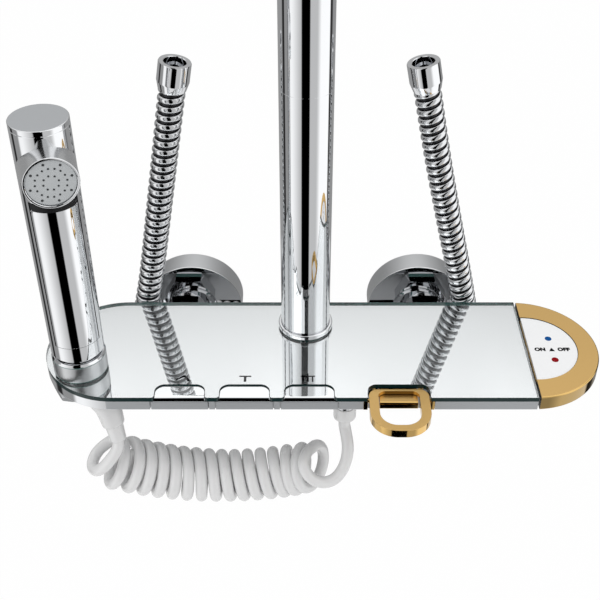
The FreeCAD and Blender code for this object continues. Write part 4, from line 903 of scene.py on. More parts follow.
@dataclass
class Studio:
    """Camera, plain pale floor, soft light and the panels that the chrome mirrors."""

    camera_place: Point = (-3.425, -554.486, 419.15)
    camera_pitch: float = 52.5
    camera_lens: float = 60.6
    floor_level: float = -950.0
    floor_size: float = 14000.0
    tent_radius: float = 1000.0
    tent_low: float = -950.0
    tent_high: float = 300.0
    chrome_share: float = 0.80
    floor_shade: float = 0.86
    floor_white: float = 0.97
    soft_low: Rgb = (0.52, 0.52, 0.525)
    soft_high: Rgb = (1.02, 1.02, 1.02)
    strips_start: tuple[float, float] = (0.02, -0.02)
    strips_end: tuple[float, float] = (0.985, 0.93)
    lamp_place: Point = (-500.0, -900.0, 1300.0)
    lamp_turn: tuple[float, float] = (38.0, -28.0)
    lamp_size: float = 1200.0
    lamp_power: float = 5.0
    panels: tuple[tuple[float, float], ...] = (
        (-90, 0.55), (-74, 0.55), (-68, 0.95), (-58, 0.96), (-50, 0.92), (-20, 0.70), (-17.5, 0.0),
        (12, 0.0), (14, 0.73), (40, 0.73), (46, 0.82), (56, 0.99), (98, 0.995), (103, 0.10),
        (117, 0.28), (120, 0.55), (180, 0.55), (248, 0.57), (254, 0.15), (264, 0.15), (266, 0.55))
    ceiling: tuple[tuple[float, float], ...] = (
        (-1.0, 0.75), (0.0, 0.60), (0.454, 0.66), (0.60, 0.79), (0.68, 0.95), (0.76, 1.0))

    def shade(self, value: float) -> tuple[float, float, float, float]:
        """Light that chrome shows at a display shade."""
        return rgba((linear(value) / self.chrome_share,) * 3)

    def build(self) -> None:
        """Set up the studio."""
        self.set_camera()
        self.set_world()
        self.set_floor()
        self.set_tent()
        self.set_lamp()
        bpy.context.scene.view_settings.view_transform = "Standard"

    def set_camera(self) -> None:
        """Camera at the photograph's viewing angle."""
        clear()
        bpy.ops.object.camera_add(location=metres(self.camera_place),
                                  rotation=(math.radians(self.camera_pitch), 0, 0))
        camera = bpy.context.object
        camera.data.lens = self.camera_lens
        camera.data.sensor_width = 36.0
        camera.data.clip_start = 0.01
        bpy.context.scene.camera = camera

    def around(self, wiring: Wiring, way: Link, panels: Sequence[tuple[float, float]]) -> Link:
        """Light of the panels by their direction round the object.

        Args:
            wiring: the tree to add to.
            way: the direction.
            panels: pairs of degrees from straight in front and display shade.

        Returns:
            The colour of the light.
        """
        share = wiring.node("ShaderNodeTexGradient", {"gradient_type": "RADIAL"}, {"Vector": way}, "Fac")
        stops = [((place + 90) / 360, self.shade(value)) for place, value in panels]
        return wiring.node("ShaderNodeValToRGB", {"stops": stops}, {"Fac": share})

    def set_world(self) -> None:
        """White behind the object, a soft gradient as light, a ceiling in the reflections."""
        world = bpy.data.worlds.new("studio")
        bpy.context.scene.world = world
        world.use_nodes = True
        wiring = Wiring(world.node_tree)
        way = wiring.node("ShaderNodeTexCoord", {}, {}, "Generated")
        height = wiring.separated(way, "Z")
        share = height * 0.5 + 0.5
        ceiling = wiring.node("ShaderNodeValToRGB", {
            "stops": [(place * 0.5 + 0.5, self.shade(value)) for place, value in self.ceiling]},
            {"Fac": share})
        strips = self.around(wiring, way, self.panels)
        in_front = (wiring.range(wiring.separated(way, "Y"), *self.strips_start)
                    * wiring.range(height, *self.strips_end))
        ceiling = wiring.mixed(in_front, ceiling, strips)
        soft = wiring.mixed(share, rgba(self.soft_low), rgba(self.soft_high))
        mirrored = (wiring.ray("Is Glossy Ray") + wiring.ray("Is Transmission Ray")).clamped()
        colour = wiring.mixed(mirrored, soft, ceiling)
        colour = wiring.mixed(wiring.ray("Is Camera Ray"), colour, WHITE)
        wiring.finish(wiring.node("ShaderNodeBackground", {}, {"Color": colour, "Strength": 1.0}),
                      kind="ShaderNodeOutputWorld")

    def set_floor(self) -> None:
        """Pale floor that keeps the object's shadow."""
        clear()
        bpy.ops.mesh.primitive_plane_add(size=self.floor_size * MM,
                                         location=(0, 0, self.floor_level * MM))
        floor = bpy.context.object
        floor.name = "studio_floor"
        material, wiring = new_material("pale_floor")
        matt = wiring.node("ShaderNodeBsdfDiffuse", {}, {"Color": rgba((self.floor_shade,) * 3)})
        glow = wiring.node("ShaderNodeEmission", {}, {"Color": WHITE, "Strength": 1.0})
        wiring.finish(wiring.node("ShaderNodeMixShader", {}, {
            0: wiring.ray("Is Camera Ray") * self.floor_white, 1: matt, 2: glow}))
        floor.data.materials.append(material)

    def set_tent(self) -> None:
        """Ring of light and dark panels round the object, seen in its reflections alone."""
        clear()
        height = self.tent_high - self.tent_low
        bpy.ops.mesh.primitive_cylinder_add(
            vertices=96, radius=self.tent_radius * MM, depth=height * MM, end_fill_type="NOTHING",
            location=(0, 0, (self.tent_low + height / 2) * MM))
        tent = bpy.context.object
        tent.name = "studio_panels"
        material, wiring = new_material("studio_panels")
        colour = self.around(wiring, wiring.object_point(), self.panels)
        wiring.finish(wiring.node("ShaderNodeEmission", {}, {"Color": colour, "Strength": 1.0}))
        tent.data.materials.append(material)
        for name in ("visible_camera", "visible_diffuse", "visible_shadow"):
            setattr(tent, name, False)

    def set_lamp(self) -> None:
        """One large soft lamp above and in front."""
        clear()
        down, aside = (math.radians(turn) for turn in self.lamp_turn)
        bpy.ops.object.light_add(type="AREA", location=metres(self.lamp_place), rotation=(down, 0, aside))
        lamp = bpy.context.object
        lamp.data.shape = "SQUARE"
        lamp.data.size = self.lamp_size * MM
        lamp.data.energy = self.lamp_power
        lamp.visible_glossy = False


# Wall connection


@dataclass
class WallConnection(SubAssembly):
    """Flange, eccentric union, washer and union nut at each inlet."""

    inlet: float = 75.0
    offset: float = 4.0
    flange: float = 32.5
    depth: float = 15.5
    wall: float = 1.4
    hole: float = 15.6
    edge: float = 0.6
    edge_middle: float = 0.18
    hole_edge: float = 0.5
    flats: float = 30.0
    nut_length: float = 13.0
    nut_front: float = 35.8
    pipe: float = 10.1
    washer: float = 12.9
    washer_bore: float = 7.0
    washer_back: float = 27.0
    washer_front: float = 29.0

    def build(self) -> None:
        """Build both inlets."""
        for side, name in ((-1, "left"), (1, "right")):
            self.build_side(side, name)

    def build_side(self, side: int, name: str) -> None:
        """Build the pieces of one inlet."""
        inlet, mouth = side * self.inlet, side * (self.inlet + self.offset)
        flange = turned(name + "_flange", [
            (self.flange, 0), (self.flange, self.depth - self.edge),
            (self.flange - self.edge_middle, self.depth - self.edge_middle),
            (self.flange - self.edge, self.depth), (self.hole + self.edge, self.depth),
            (self.hole, self.depth - self.hole_edge), (self.hole, self.depth - self.wall),
            (self.flange - self.wall, self.depth - self.wall), (self.flange - self.wall, 0)],
            (inlet, 0, 0), OUT_OF_WALL, 160, hollow=True)
        self.paint(flange, Finish.CHROME, {Finish.SATIN: lambda centre, normal: (
            abs(normal.y) < 0.1 and math.hypot(centre.x - inlet, centre.z) > self.flange - 0.3)})
        self.fit(flange, Body.FIXED, [name + "_wall_flange"])
        self.carry_over({name + "_eccentric_union": 0.4}, Body.FIXED)
        washer = turned(name + "_washer", [
            (self.washer_bore, self.washer_back), (self.washer, self.washer_back),
            (self.washer, self.washer_front), (self.washer_bore, self.washer_front)],
            (mouth, 0, 0), OUT_OF_WALL, 64, hollow=True)
        self.fit(washer, Body.FIXED, [name + "_inlet_washer"])
        nut = hex_nut(name + "_nut", self.flats, self.nut_length, self.pipe,
                      (mouth, self.nut_length - self.nut_front, 0), OUT_OF_WALL)
        self.fit(nut, Body.FIXED, [name + "_union_nut"])


# Valve body


@dataclass
class ValveBody(SubAssembly):
    """Brass body and what is screwed into it."""

    def build(self) -> None:
        """Build the body, screws, shafts, cartridge and pipe ends."""
        self.carry_over({
            "valve_body": 0.5, "tray_screw_left": 0.15, "tray_screw_right": 0.15, "key_shaft": 0.2,
            "key_gold_shaft": 0.2, "mixing_cartridge": 0.3, "cartridge_nut": 0.3, "riser_socket": 0.2,
            "riser_sleeve": 0.2, "coil_outlet": 0.2, "ring_lug_left": 0.2, "ring_lug_right": 0.2,
            "hose_elbow_left": 0.0, "hose_elbow_right": 0.0}, Body.FIXED)


# Shelf


def notch_line(place: float, front: float, sizes: Sequence[float]) -> list[tuple[float, float]]:
    """Line of one finger notch, from left to right along the front edge.

    Args:
        place: middle of the notch along the shelf.
        front: where the front edge is.
        sizes: half width in front and at the back, depth, straight and flare.

    Returns:
        Points of the line.
    """
    wide, narrow, depth, straight, flare = sizes
    bend = math.cos(math.pi / 4)
    side, rise = wide - narrow, depth - straight
    lead = [(-wide - flare, 0.0)]
    lead += arc(lead[-1], (-wide - flare * (1 - bend), flare * (1 - bend)), (-wide, flare), 8)
    lead.append((-wide, straight))
    lead += arc(lead[-1], (-narrow - side * bend, straight + rise * bend), (-narrow, depth), 12)
    line = lead + [(-x, y) for x, y in reversed(lead)]
    return [(place + x, front + y) for x, y in line]


@dataclass
class MirrorShelf(SubAssembly):
    """Mirror glass with its finger notches, the tray under it and the printed signs."""

    left: float = -157.5
    right: float = 134.3
    back: float = -38.0
    front: float = -128.0
    low: float = 18.0
    top: float = 21.0
    arris: float = 0.35
    key_places: tuple[float, ...] = (-73.2, -35.6, 2.0)
    key_notch: tuple[float, ...] = (14.6, 9.5, 11.5, 5.2, 1.9)
    ring_place: float = 54.0
    ring_notch: tuple[float, ...] = (18.1, 12.6, 11.4, 6.2, 0.7)
    riser: tuple[float, float, float] = (0.0, -59.5, 15.3)
    dock: tuple[float, float, float] = (-134.0, -100.0, 14.1)
    ink: float = 0.04
    sink: float = 1.85
    skirt_reach: float = 0.2
    notch_reach: float = 12.0
    notches_middle: float = -35.0
    notches_half: float = 58.0
    spray_sign: tuple[Point, ...] = (
        (-76.9, -113.6), (-76.6, -112.5), (-72.3, -108.7), (-71.2, -108.7), (-67.9, -113.5),
        (-69.2, -114.3), (-72.0, -110.3))
    bath_sign: tuple[Point, ...] = (
        (-39.3, -110.2), (-39.3, -109.1), (-32.3, -109.1), (-32.3, -110.2), (-35.0, -110.2),
        (-35.1, -114.4), (-36.6, -114.4), (-36.5, -110.2))
    overhead_sign: tuple[Point, ...] = (
        (-3.0, -110.1), (-3.0, -109.1), (0.75, -109.1), (0.75, -107.3), (1.65, -107.3),
        (1.65, -109.1), (5.5, -109.1), (5.5, -110.1))
    drops: tuple[tuple[float, float], ...] = ((-1.5, 0.42), (1.2, 0.6), (4.0, 0.42))
    drop_span: tuple[float, float] = (-114.4, -110.3)

    def outline(self) -> list[list[tuple[float, float]]]:
        """Outline of the glass with its notches, and its two holes."""
        radius = (self.back - self.front) / 2
        centre = self.left + radius
        middle = self.front + radius
        loop = [(centre, self.front)]
        for place in self.key_places:
            loop += notch_line(place, self.front, self.key_notch)
        loop += notch_line(self.ring_place, self.front, self.ring_notch)
        loop += [(self.right, self.front), (self.right, self.back), (centre, self.back)]
        loop += arc((centre, self.back), (self.left, middle), (centre, self.front), 96)[:-1]
        return [loop, circle(self.riser[:2], self.riser[2], 96), circle(self.dock[:2], self.dock[2], 96)]

    def build(self) -> None:
        """Build the glass, the tray and the signs."""
        glass = cut_out("mirror_glass_plate", self.outline(), self.low, self.top)
        round_edges(glass, on_top(self.top), self.arris, 1)
        self.paint(glass, Finish.GLASS, {
            Finish.SILVERING: lambda centre, normal: normal.z < -0.9 and centre.z < self.low + NEAR,
            Finish.EDGE: lambda centre, normal: abs(normal.z) < 0.2})
        smoothed(glass, 20)
        self.fit(glass, Body.FIXED, ["mirror_glass"], smooth=False)

        tray = self.eased("shelf_tray", 0.0, "shelf_tray_skirted")
        self.paint(tray, Finish.CHROME, {
            Finish.SKIRT: lambda centre, normal: (
                normal.y < -0.95 and centre.y < self.front + self.skirt_reach),
            Finish.RECESS: lambda centre, normal: (
                # Painted shade on the walls of the key slots by the notches, so the gaps look dark.
                abs(normal.x) > 0.3 and centre.y < self.front + self.notch_reach
                and abs(centre.x - self.notches_middle) < self.notches_half)})
        self.fit(tray, Body.FIXED, ["shelf_tray"])
        for sign in self.signs():
            self.fit(sign, Body.FIXED, [], Slot.RUBBER, Finish.INK, smooth=False)

    def signs(self) -> list[bpy.types.Object]:
        """Spray, bath and overhead signs on the underside of the glass, behind their keys."""
        level, high = self.low + self.ink, self.low + 2 * self.ink
        pieces = [cut_out(name, [loop], level, high) for name, loop in (
            ("sign_hand_spray", self.spray_sign), ("sign_bath", self.bath_sign))]
        shower = [cut_out("sign_overhead", [self.overhead_sign], level, high)]
        start, end = self.drop_span
        for x, wide in self.drops:
            drop = [(x - wide, start), (x - wide, end), (x + wide, end), (x + wide, start)]
            shower.append(cut_out("drop", [drop], level, high))
        pieces.append(joined("sign_overhead", shower))
        for sign in pieces:
            sign.location = metres((0, self.sink, 0))
            settled(sign)
        return pieces


# Press keys


@dataclass
class PressKeys(SubAssembly):
    """Three chrome keys, the gold key inside the ring and the valve stems below."""

    front: float = -128.0
    gold_front: float = -127.2
    low: float = 11.5
    top: float = 17.75
    pad_top: float = 20.0
    pad_round: float = 3.3
    pad_back: float = -114.0
    pad_line: tuple[float, ...] = (14.25, 9.15, 11.5, 5.55, 2.25)
    gold_top: float = 16.0
    plate: float = 3.0
    gold_plate: float = 2.6
    lip: float = 4.0
    fold: float = 1.6
    foot: float = 0.5
    pivot: float = -86.0
    pivot_level: float = 14.3
    barrel: float = 3.0
    bore: float = 1.55
    width: float = 33.0
    gold_width: float = 22.4
    ease: float = 0.25
    room: float = 5.0
    pad_gap: float = 0.35
    stem_row: float = -99.0
    stem_gap: float = 0.3
    stem_line: tuple[Point, ...] = (
        (2.7, -12.0), (3.0, -11.7), (3.0, -1.2), (4.3, -1.2), (4.5, -1.0), (4.5, -0.2), (4.3, 0.0))
    places: tuple[tuple[str, float], ...] = (("left", -73.2), ("middle", -35.6), ("right", 2.0))
    gold_place: float = 54.0

    def section(self, front: float, top: float, plate: float,
                pad: bool = False) -> list[list[tuple[float, float]]]:
        """Section of a key across its shaft.

        Args:
            front: where its front face is.
            top: level of its plate.
            plate: thickness of the plate.
            pad: with the raised finger pad in front.

        Returns:
            The folded front, plate and barrel as one line, and the bore.
        """
        under = top - plate
        bend = 1 - math.cos(math.pi / 4)
        reach = math.sqrt(max(self.barrel ** 2 - (under - self.pivot_level) ** 2, 0.0))
        crown = min(top, self.pivot_level + self.barrel)
        line = [(front + self.foot, self.low), (front + self.lip, self.low), (front + self.lip, under),
                (self.pivot - reach, under)]
        line += arc(line[-1], (self.pivot, self.pivot_level - self.barrel),
                    (self.pivot + self.barrel, self.pivot_level), 20)
        if top > self.pivot_level + self.barrel:
            line += arc(line[-1], (self.pivot + self.barrel * math.cos(math.pi / 4),
                                   self.pivot_level + self.barrel * math.sin(math.pi / 4)),
                        (self.pivot, crown), 8)
            line.append((self.pivot, top))
        else:
            rise = top - self.pivot_level
            run = math.sqrt(self.barrel ** 2 - rise ** 2)
            half = math.atan2(rise, run) / 2
            line += arc(line[-1], (self.pivot + self.barrel * math.cos(half),
                                   self.pivot_level + self.barrel * math.sin(half)),
                        (self.pivot + run, top), 8)
        fold = self.fold
        if pad:
            line.append((self.pad_back, top))
            top, fold = self.pad_top, self.pad_round
            line.append((self.pad_back, top))
        line.append((front + fold, top))
        line += arc(line[-1], (front + fold * bend, top - fold * bend), (front, top - fold), 12)
        line.append((front, self.low + self.foot))
        line += arc(line[-1], (front + self.foot * bend, self.low + self.foot * bend),
                    (front + self.foot, self.low), 4)[:-1]
        return [line, circle((self.pivot, self.pivot_level), self.bore, 48)]

    def key(self, name: str, place: float, width: float, section: list) -> bpy.types.Object:
        """One key, its section drawn out across its width."""
        piece = cut_out(name, section, -width / 2, width / 2)
        piece.matrix_world = Matrix.Translation(metres((place, 0, 0))) @ Matrix(
            ((0, 0, 1, 0), (1, 0, 0, 0), (0, 1, 0, 0), (0, 0, 0, 1)))
        bevelled(settled(piece), self.ease, 2, 60)
        return piece

    def surround(self, place: float) -> bpy.types.Object:
        """What is cut away round the finger pad, which follows the notch of the glass."""
        front, back = self.front - self.room, self.pad_back + self.room
        left, right = place - self.width, place + self.width
        room = [(left, front), (right, front), (right, back), (left, back)]
        pad = notch_line(place, self.front - self.pad_gap, self.pad_line)
        pad = [(pad[0][0], self.front - 2), *pad, (pad[-1][0], self.front - 2)]
        return cut_out("surround", [room, pad], self.top, self.pad_top + 1)

    def stem(self, name: str, place: float, touch: float) -> bpy.types.Object:
        """Valve stem with its flat button."""
        top = touch - self.stem_gap
        line = [(radius, top + level) for radius, level in self.stem_line]
        return turned(name, line, (place, self.stem_row, 0), UP, 64)

    def build(self) -> None:
        """Build the keys and their valve stems."""
        chrome = self.section(self.front, self.top, self.plate, pad=True)
        for side, place in self.places:
            piece = self.key("press_" + side, place, self.width, chrome)
            carve(piece, self.surround(place))
            self.paint(piece, Finish.CHROME, {
                Finish.SKIRT: lambda centre, normal: normal.y < -0.93 and centre.y < self.front + 0.4,
                # Painted shade on the key's sides below its plate, so the gaps between keys look dark.
                Finish.RECESS: lambda centre, normal: abs(normal.x) > 0.3 and centre.z < self.top,
                Finish.SILVERING: lambda centre, normal: normal.z > 0.95 and centre.z > self.top + 1})
            self.fit(piece, "press_key_" + side, ["key_" + side])
            stem = self.stem("stem_" + side, place, self.top - self.plate)
            self.fit(stem, "valve_stem_" + side, ["plunger_" + side])
        gold = self.section(self.gold_front, self.gold_top, self.gold_plate)
        piece = self.key("press_gold", self.gold_place, self.gold_width, gold)
        self.paint(piece, Finish.GOLD, {Finish.GOLD_SATIN: lambda centre, normal: normal.z > FLAT})
        self.fit(piece, "press_key_gold", ["key_gold"])
        stem = self.stem("stem_gold", self.gold_place, self.gold_top - self.gold_plate)
        self.fit(stem, "valve_stem_gold", ["plunger_gold"])


@dataclass
class HookRing(SubAssembly):
    """Hinged ring round the gold key."""

    place: float = 54.0
    half: float = 17.5
    back: float = -118.2
    length: float = 34.4
    side: float = 5.6
    back_bar: float = 1.8
    front_bar: float = 4.8
    back_round: float = 6.0
    front_round: float = 15.5
    top: float = 18.9
    thickness: float = 5.2
    bar: float = 2.4
    edge: float = 1.3
    pin_row: float = -124.5
    pin_level: float = 15.4
    pin: float = 1.25
    grip: float = 3.1

    def loop(self, half: float, back: float, front: float, small: float,
             large: float) -> list[tuple[float, float]]:
        """Closed line with small rounds at the back and large ones in front."""
        bend = math.cos(math.pi / 4)
        inset = small * (1 - bend)
        line = [(half - small, back)]
        line += arc(line[-1], (half - inset, back - inset), (half, back - small), 12)
        line.append((half, front + large))
        near = half - large
        line += arc(line[-1], (near + large * bend, front + large * (1 - bend)), (near, front), 32)
        line += [(-x, y) for x, y in reversed(line)]
        return [(self.place + x, y) for x, y in line]

    def build(self) -> None:
        """Build the ring."""
        front = self.back - self.length
        low = self.top - self.thickness
        inner = self.half - self.side
        ring = cut_out("gold_ring", [
            self.loop(self.half, self.back, front, self.back_round, self.front_round),
            self.loop(inner, self.back - self.back_bar, front + self.front_bar,
                      self.back_round - self.back_bar, self.front_round - self.side)], low, self.top)
        round_edges(ring, lambda a, b: min(a.z, b.z) > self.top - NEAR or max(a.z, b.z) < low + NEAR,
                    self.edge, 8)
        carve(ring, block("relief", (self.place - inner, self.back - self.side, low - 1),
                          (self.place + inner, self.back + 1, self.top - self.bar)))
        for way in (-1, 1):
            end = self.place + way * (self.half + 1)
            carve(ring, turned("pin_hole", [(self.pin, 0), (self.pin, self.grip + 1)],
                               (end, self.pin_row, self.pin_level), TO_RIGHT * -way, 32))
        self.paint(ring, Finish.GOLD, {Finish.GOLD_SATIN: lambda centre, normal: (
            normal.z > FLAT and centre.z > self.top - NEAR)})
        self.fit(ring, Body.RING, ["hook_ring"])


# Riser


@dataclass
class Riser(SubAssembly):
    """Lower and upper riser tubes and the collar on the glass."""

    row: float = -59.5
    outside: float = 15.0
    bore: float = 13.5
    seat: float = 13.8
    seat_depth: float = 15.0
    bottom: float = 11.0
    seam: float = 182.5
    top: float = 246.0
    groove: float = 0.08
    glass: float = 21.0
    collar: float = 16.8
    collar_height: float = 2.6
    collar_edge: float = 0.8
    collar_gap: float = 0.1
    collar_slope: float = 0.2
    lip: float = 0.4
    bore_lip: float = 0.3

    def build(self) -> None:
        """Build both tubes and the collar."""
        foot = (0, self.row, 0)
        out, line = self.outside, self.seam
        lower = turned("riser_lower_tube", [
            (out, self.bottom), (out, line - self.groove), (out - self.groove, line),
            (self.bore, line), (self.bore, self.bottom)], foot, UP, 192, hollow=True)
        self.fit(lower, Body.FIXED, ["riser_lower"])
        step = self.top - self.seat_depth
        upper = turned("riser_upper_tube", [
            (out - self.groove, line), (out, line + self.groove), (out, self.top - self.lip),
            (out - self.lip, self.top), (self.seat + self.bore_lip, self.top),
            (self.seat, self.top - self.bore_lip),
            (self.seat, step), (self.bore, step), (self.bore, line)], foot, UP, 192, hollow=True)
        self.fit(upper, Body.FIXED, ["riser_upper"])
        top, inside = self.glass + self.collar_height, out + self.collar_gap
        collar = turned("riser_foot_collar", [
            (inside, self.glass), (self.collar, self.glass),
            *quarter_round(self.collar, top, self.collar_edge, 15),
            (inside + self.collar_slope, top), (inside, top - self.collar_slope)],
            foot, UP, 160, hollow=True)
        self.fit(collar, Body.FIXED, ["riser_collar"])


# Lever


@dataclass
class MixingLever(SubAssembly):
    """Half-round gold lever with its white inlay and printed marks, hub and pin."""

    left: float = 135.7
    radius: float = 45.0
    middle: float = -83.0
    inset: float = 2.7
    top: float = 21.0
    thickness: float = 9.6
    edge: float = 0.9
    inlay: float = 29.0
    inlay_inset: float = 0.4
    inlay_centre: float = 0.8
    seat: float = 18.65
    inlay_top: float = 20.65
    gap: float = 0.25
    hub_half: float = 8.4
    hub_end: float = 148.2
    pocket_top: float = 18.2
    pin: float = 1.25
    pin_reach: float = 12.5
    pin_place: tuple[float, float] = (139.2, 15.2)
    inlay_edge: float = 0.12
    ink: float = 0.05
    dots: tuple[tuple[str, Point, float, Finish], ...] = (
        ("mark_cold", (149.7, -74.4), 2.05, Finish.BLUE), ("mark_hot", (150.1, -94.2), 2.15, Finish.RED))
    pointer: tuple[Point, ...] = ((148.1, -86.3), (151.7, -86.3), (149.9, -83.0))
    words: tuple[tuple[str, float], ...] = (("ON", 142.8), ("OFF", 157.2))
    word_row: float = -84.7
    letter: float = 4.0
    letter_space: float = 1.05
    letter_weight: float = 0.3

    def half_round(self, left: float, centre: float, radius: float) -> list[tuple[float, float]]:
        """Half-round outline cut off square at the left."""
        rise = math.sqrt(radius ** 2 - (left - centre) ** 2)
        low, high = (left, self.middle - rise), (left, self.middle + rise)
        return [low, *arc(low, (centre + radius, self.middle), high, 96)]

    def build(self) -> None:
        """Build the handle, the inlay, its marks and the hub."""
        bottom = self.top - self.thickness
        handle = cut_out("lever_grip", [
            self.half_round(self.left, self.left - self.inset, self.radius)], bottom, self.top)

        def on_rim(first: Vector, last: Vector) -> bool:
            """Edges along the curved rim, above and below."""
            level = min(first.z, last.z) > self.top - NEAR or max(first.z, last.z) < bottom + NEAR
            return level and max(first.x, last.x) > self.left + NEAR

        round_edges(handle, on_rim, self.edge, 6)
        seat = cut_out("seat", [self.half_round(
            self.left - self.inlay_inset, self.left + self.inlay_centre, self.inlay + self.gap)],
            self.seat, self.top + 1)
        carve(handle, seat)
        carve(handle, block("hub_room", (self.left - 1, self.middle - self.hub_half, bottom - 1),
                            (self.hub_end, self.middle + self.hub_half, self.pocket_top)))
        place, level = self.pin_place
        carve(handle, turned("pin_bore", [(self.pin, -self.pin_reach), (self.pin, self.pin_reach)],
                             (place, self.middle, level), OUT_OF_WALL, 32))
        rim = self.inlay + self.gap + 0.1
        self.paint(handle, Finish.GOLD, {
            Finish.GOLD_SATIN: lambda centre, normal: normal.z > FLAT and centre.z > self.top - NEAR,
            # Painted shade: the upright sides of the rim in a darker copy of the polished gold.
            Finish.GOLD_DEEP: lambda centre, normal: (
                abs(normal.z) < 0.3 and centre.z < self.seat + 2 and centre.x > self.left + 0.2),
            # Painted shade, near black, on the left end face and round the wall of the inlay's seat.
            Finish.RECESS: lambda centre, normal: normal.x < -0.9 or (
                abs(normal.z) < 0.5 and centre.z > self.seat
                and math.hypot(centre.x - self.left - self.inlay_centre, centre.y - self.middle) < rim)})
        self.fit(handle, Body.LEVER, ["lever_handle"])

        inlay = cut_out("lever_white_inlay", [self.half_round(
            self.left + self.inlay_inset, self.left + self.inlay_centre, self.inlay)],
            self.seat, self.inlay_top)
        round_edges(inlay, on_top(self.inlay_top), self.inlay_edge, 2)
        self.fit(inlay, Body.LEVER, ["lever_inlay"])
        self.marks()
        self.carry_over({"lever_pin": 0.15}, Body.LEVER)
        self.carry_over({"lever_hub": 0.3}, Body.HUB)

    def marks(self) -> None:
        """Cold and hot dots, the pointer and the ON and OFF words."""
        level, high = self.inlay_top, self.inlay_top + self.ink
        for name, spot, size, finish in self.dots:
            dot = cut_out(name, [circle(spot, size, 40)], level, high)
            self.fit(dot, Body.LEVER, [], Slot.INLAY, finish, smooth=False)
        pointer = cut_out("mark_pointer", [self.pointer], level, high)
        self.fit(pointer, Body.LEVER, [], Slot.RUBBER, Finish.INK, smooth=False)
        for word, centre in self.words:
            clear()
            bpy.ops.object.text_add(location=metres((centre, self.word_row, level)))
            text = bpy.context.object
            text.data.body = word
            text.data.size = self.letter * MM
            text.data.space_character = self.letter_space
            text.data.align_x, text.data.align_y = "CENTER", "CENTER"
            text.data.extrude = self.ink * MM / 2
            text.data.offset = self.letter_weight * MM
            only(text)
            bpy.ops.object.convert(target="MESH")
            letters = bpy.context.object
            letters.name = letters.data.name = "mark_" + word.lower()
            self.fit(settled(letters), Body.LEVER, [], Slot.RUBBER, Finish.INK, smooth=False)


# Hand spray


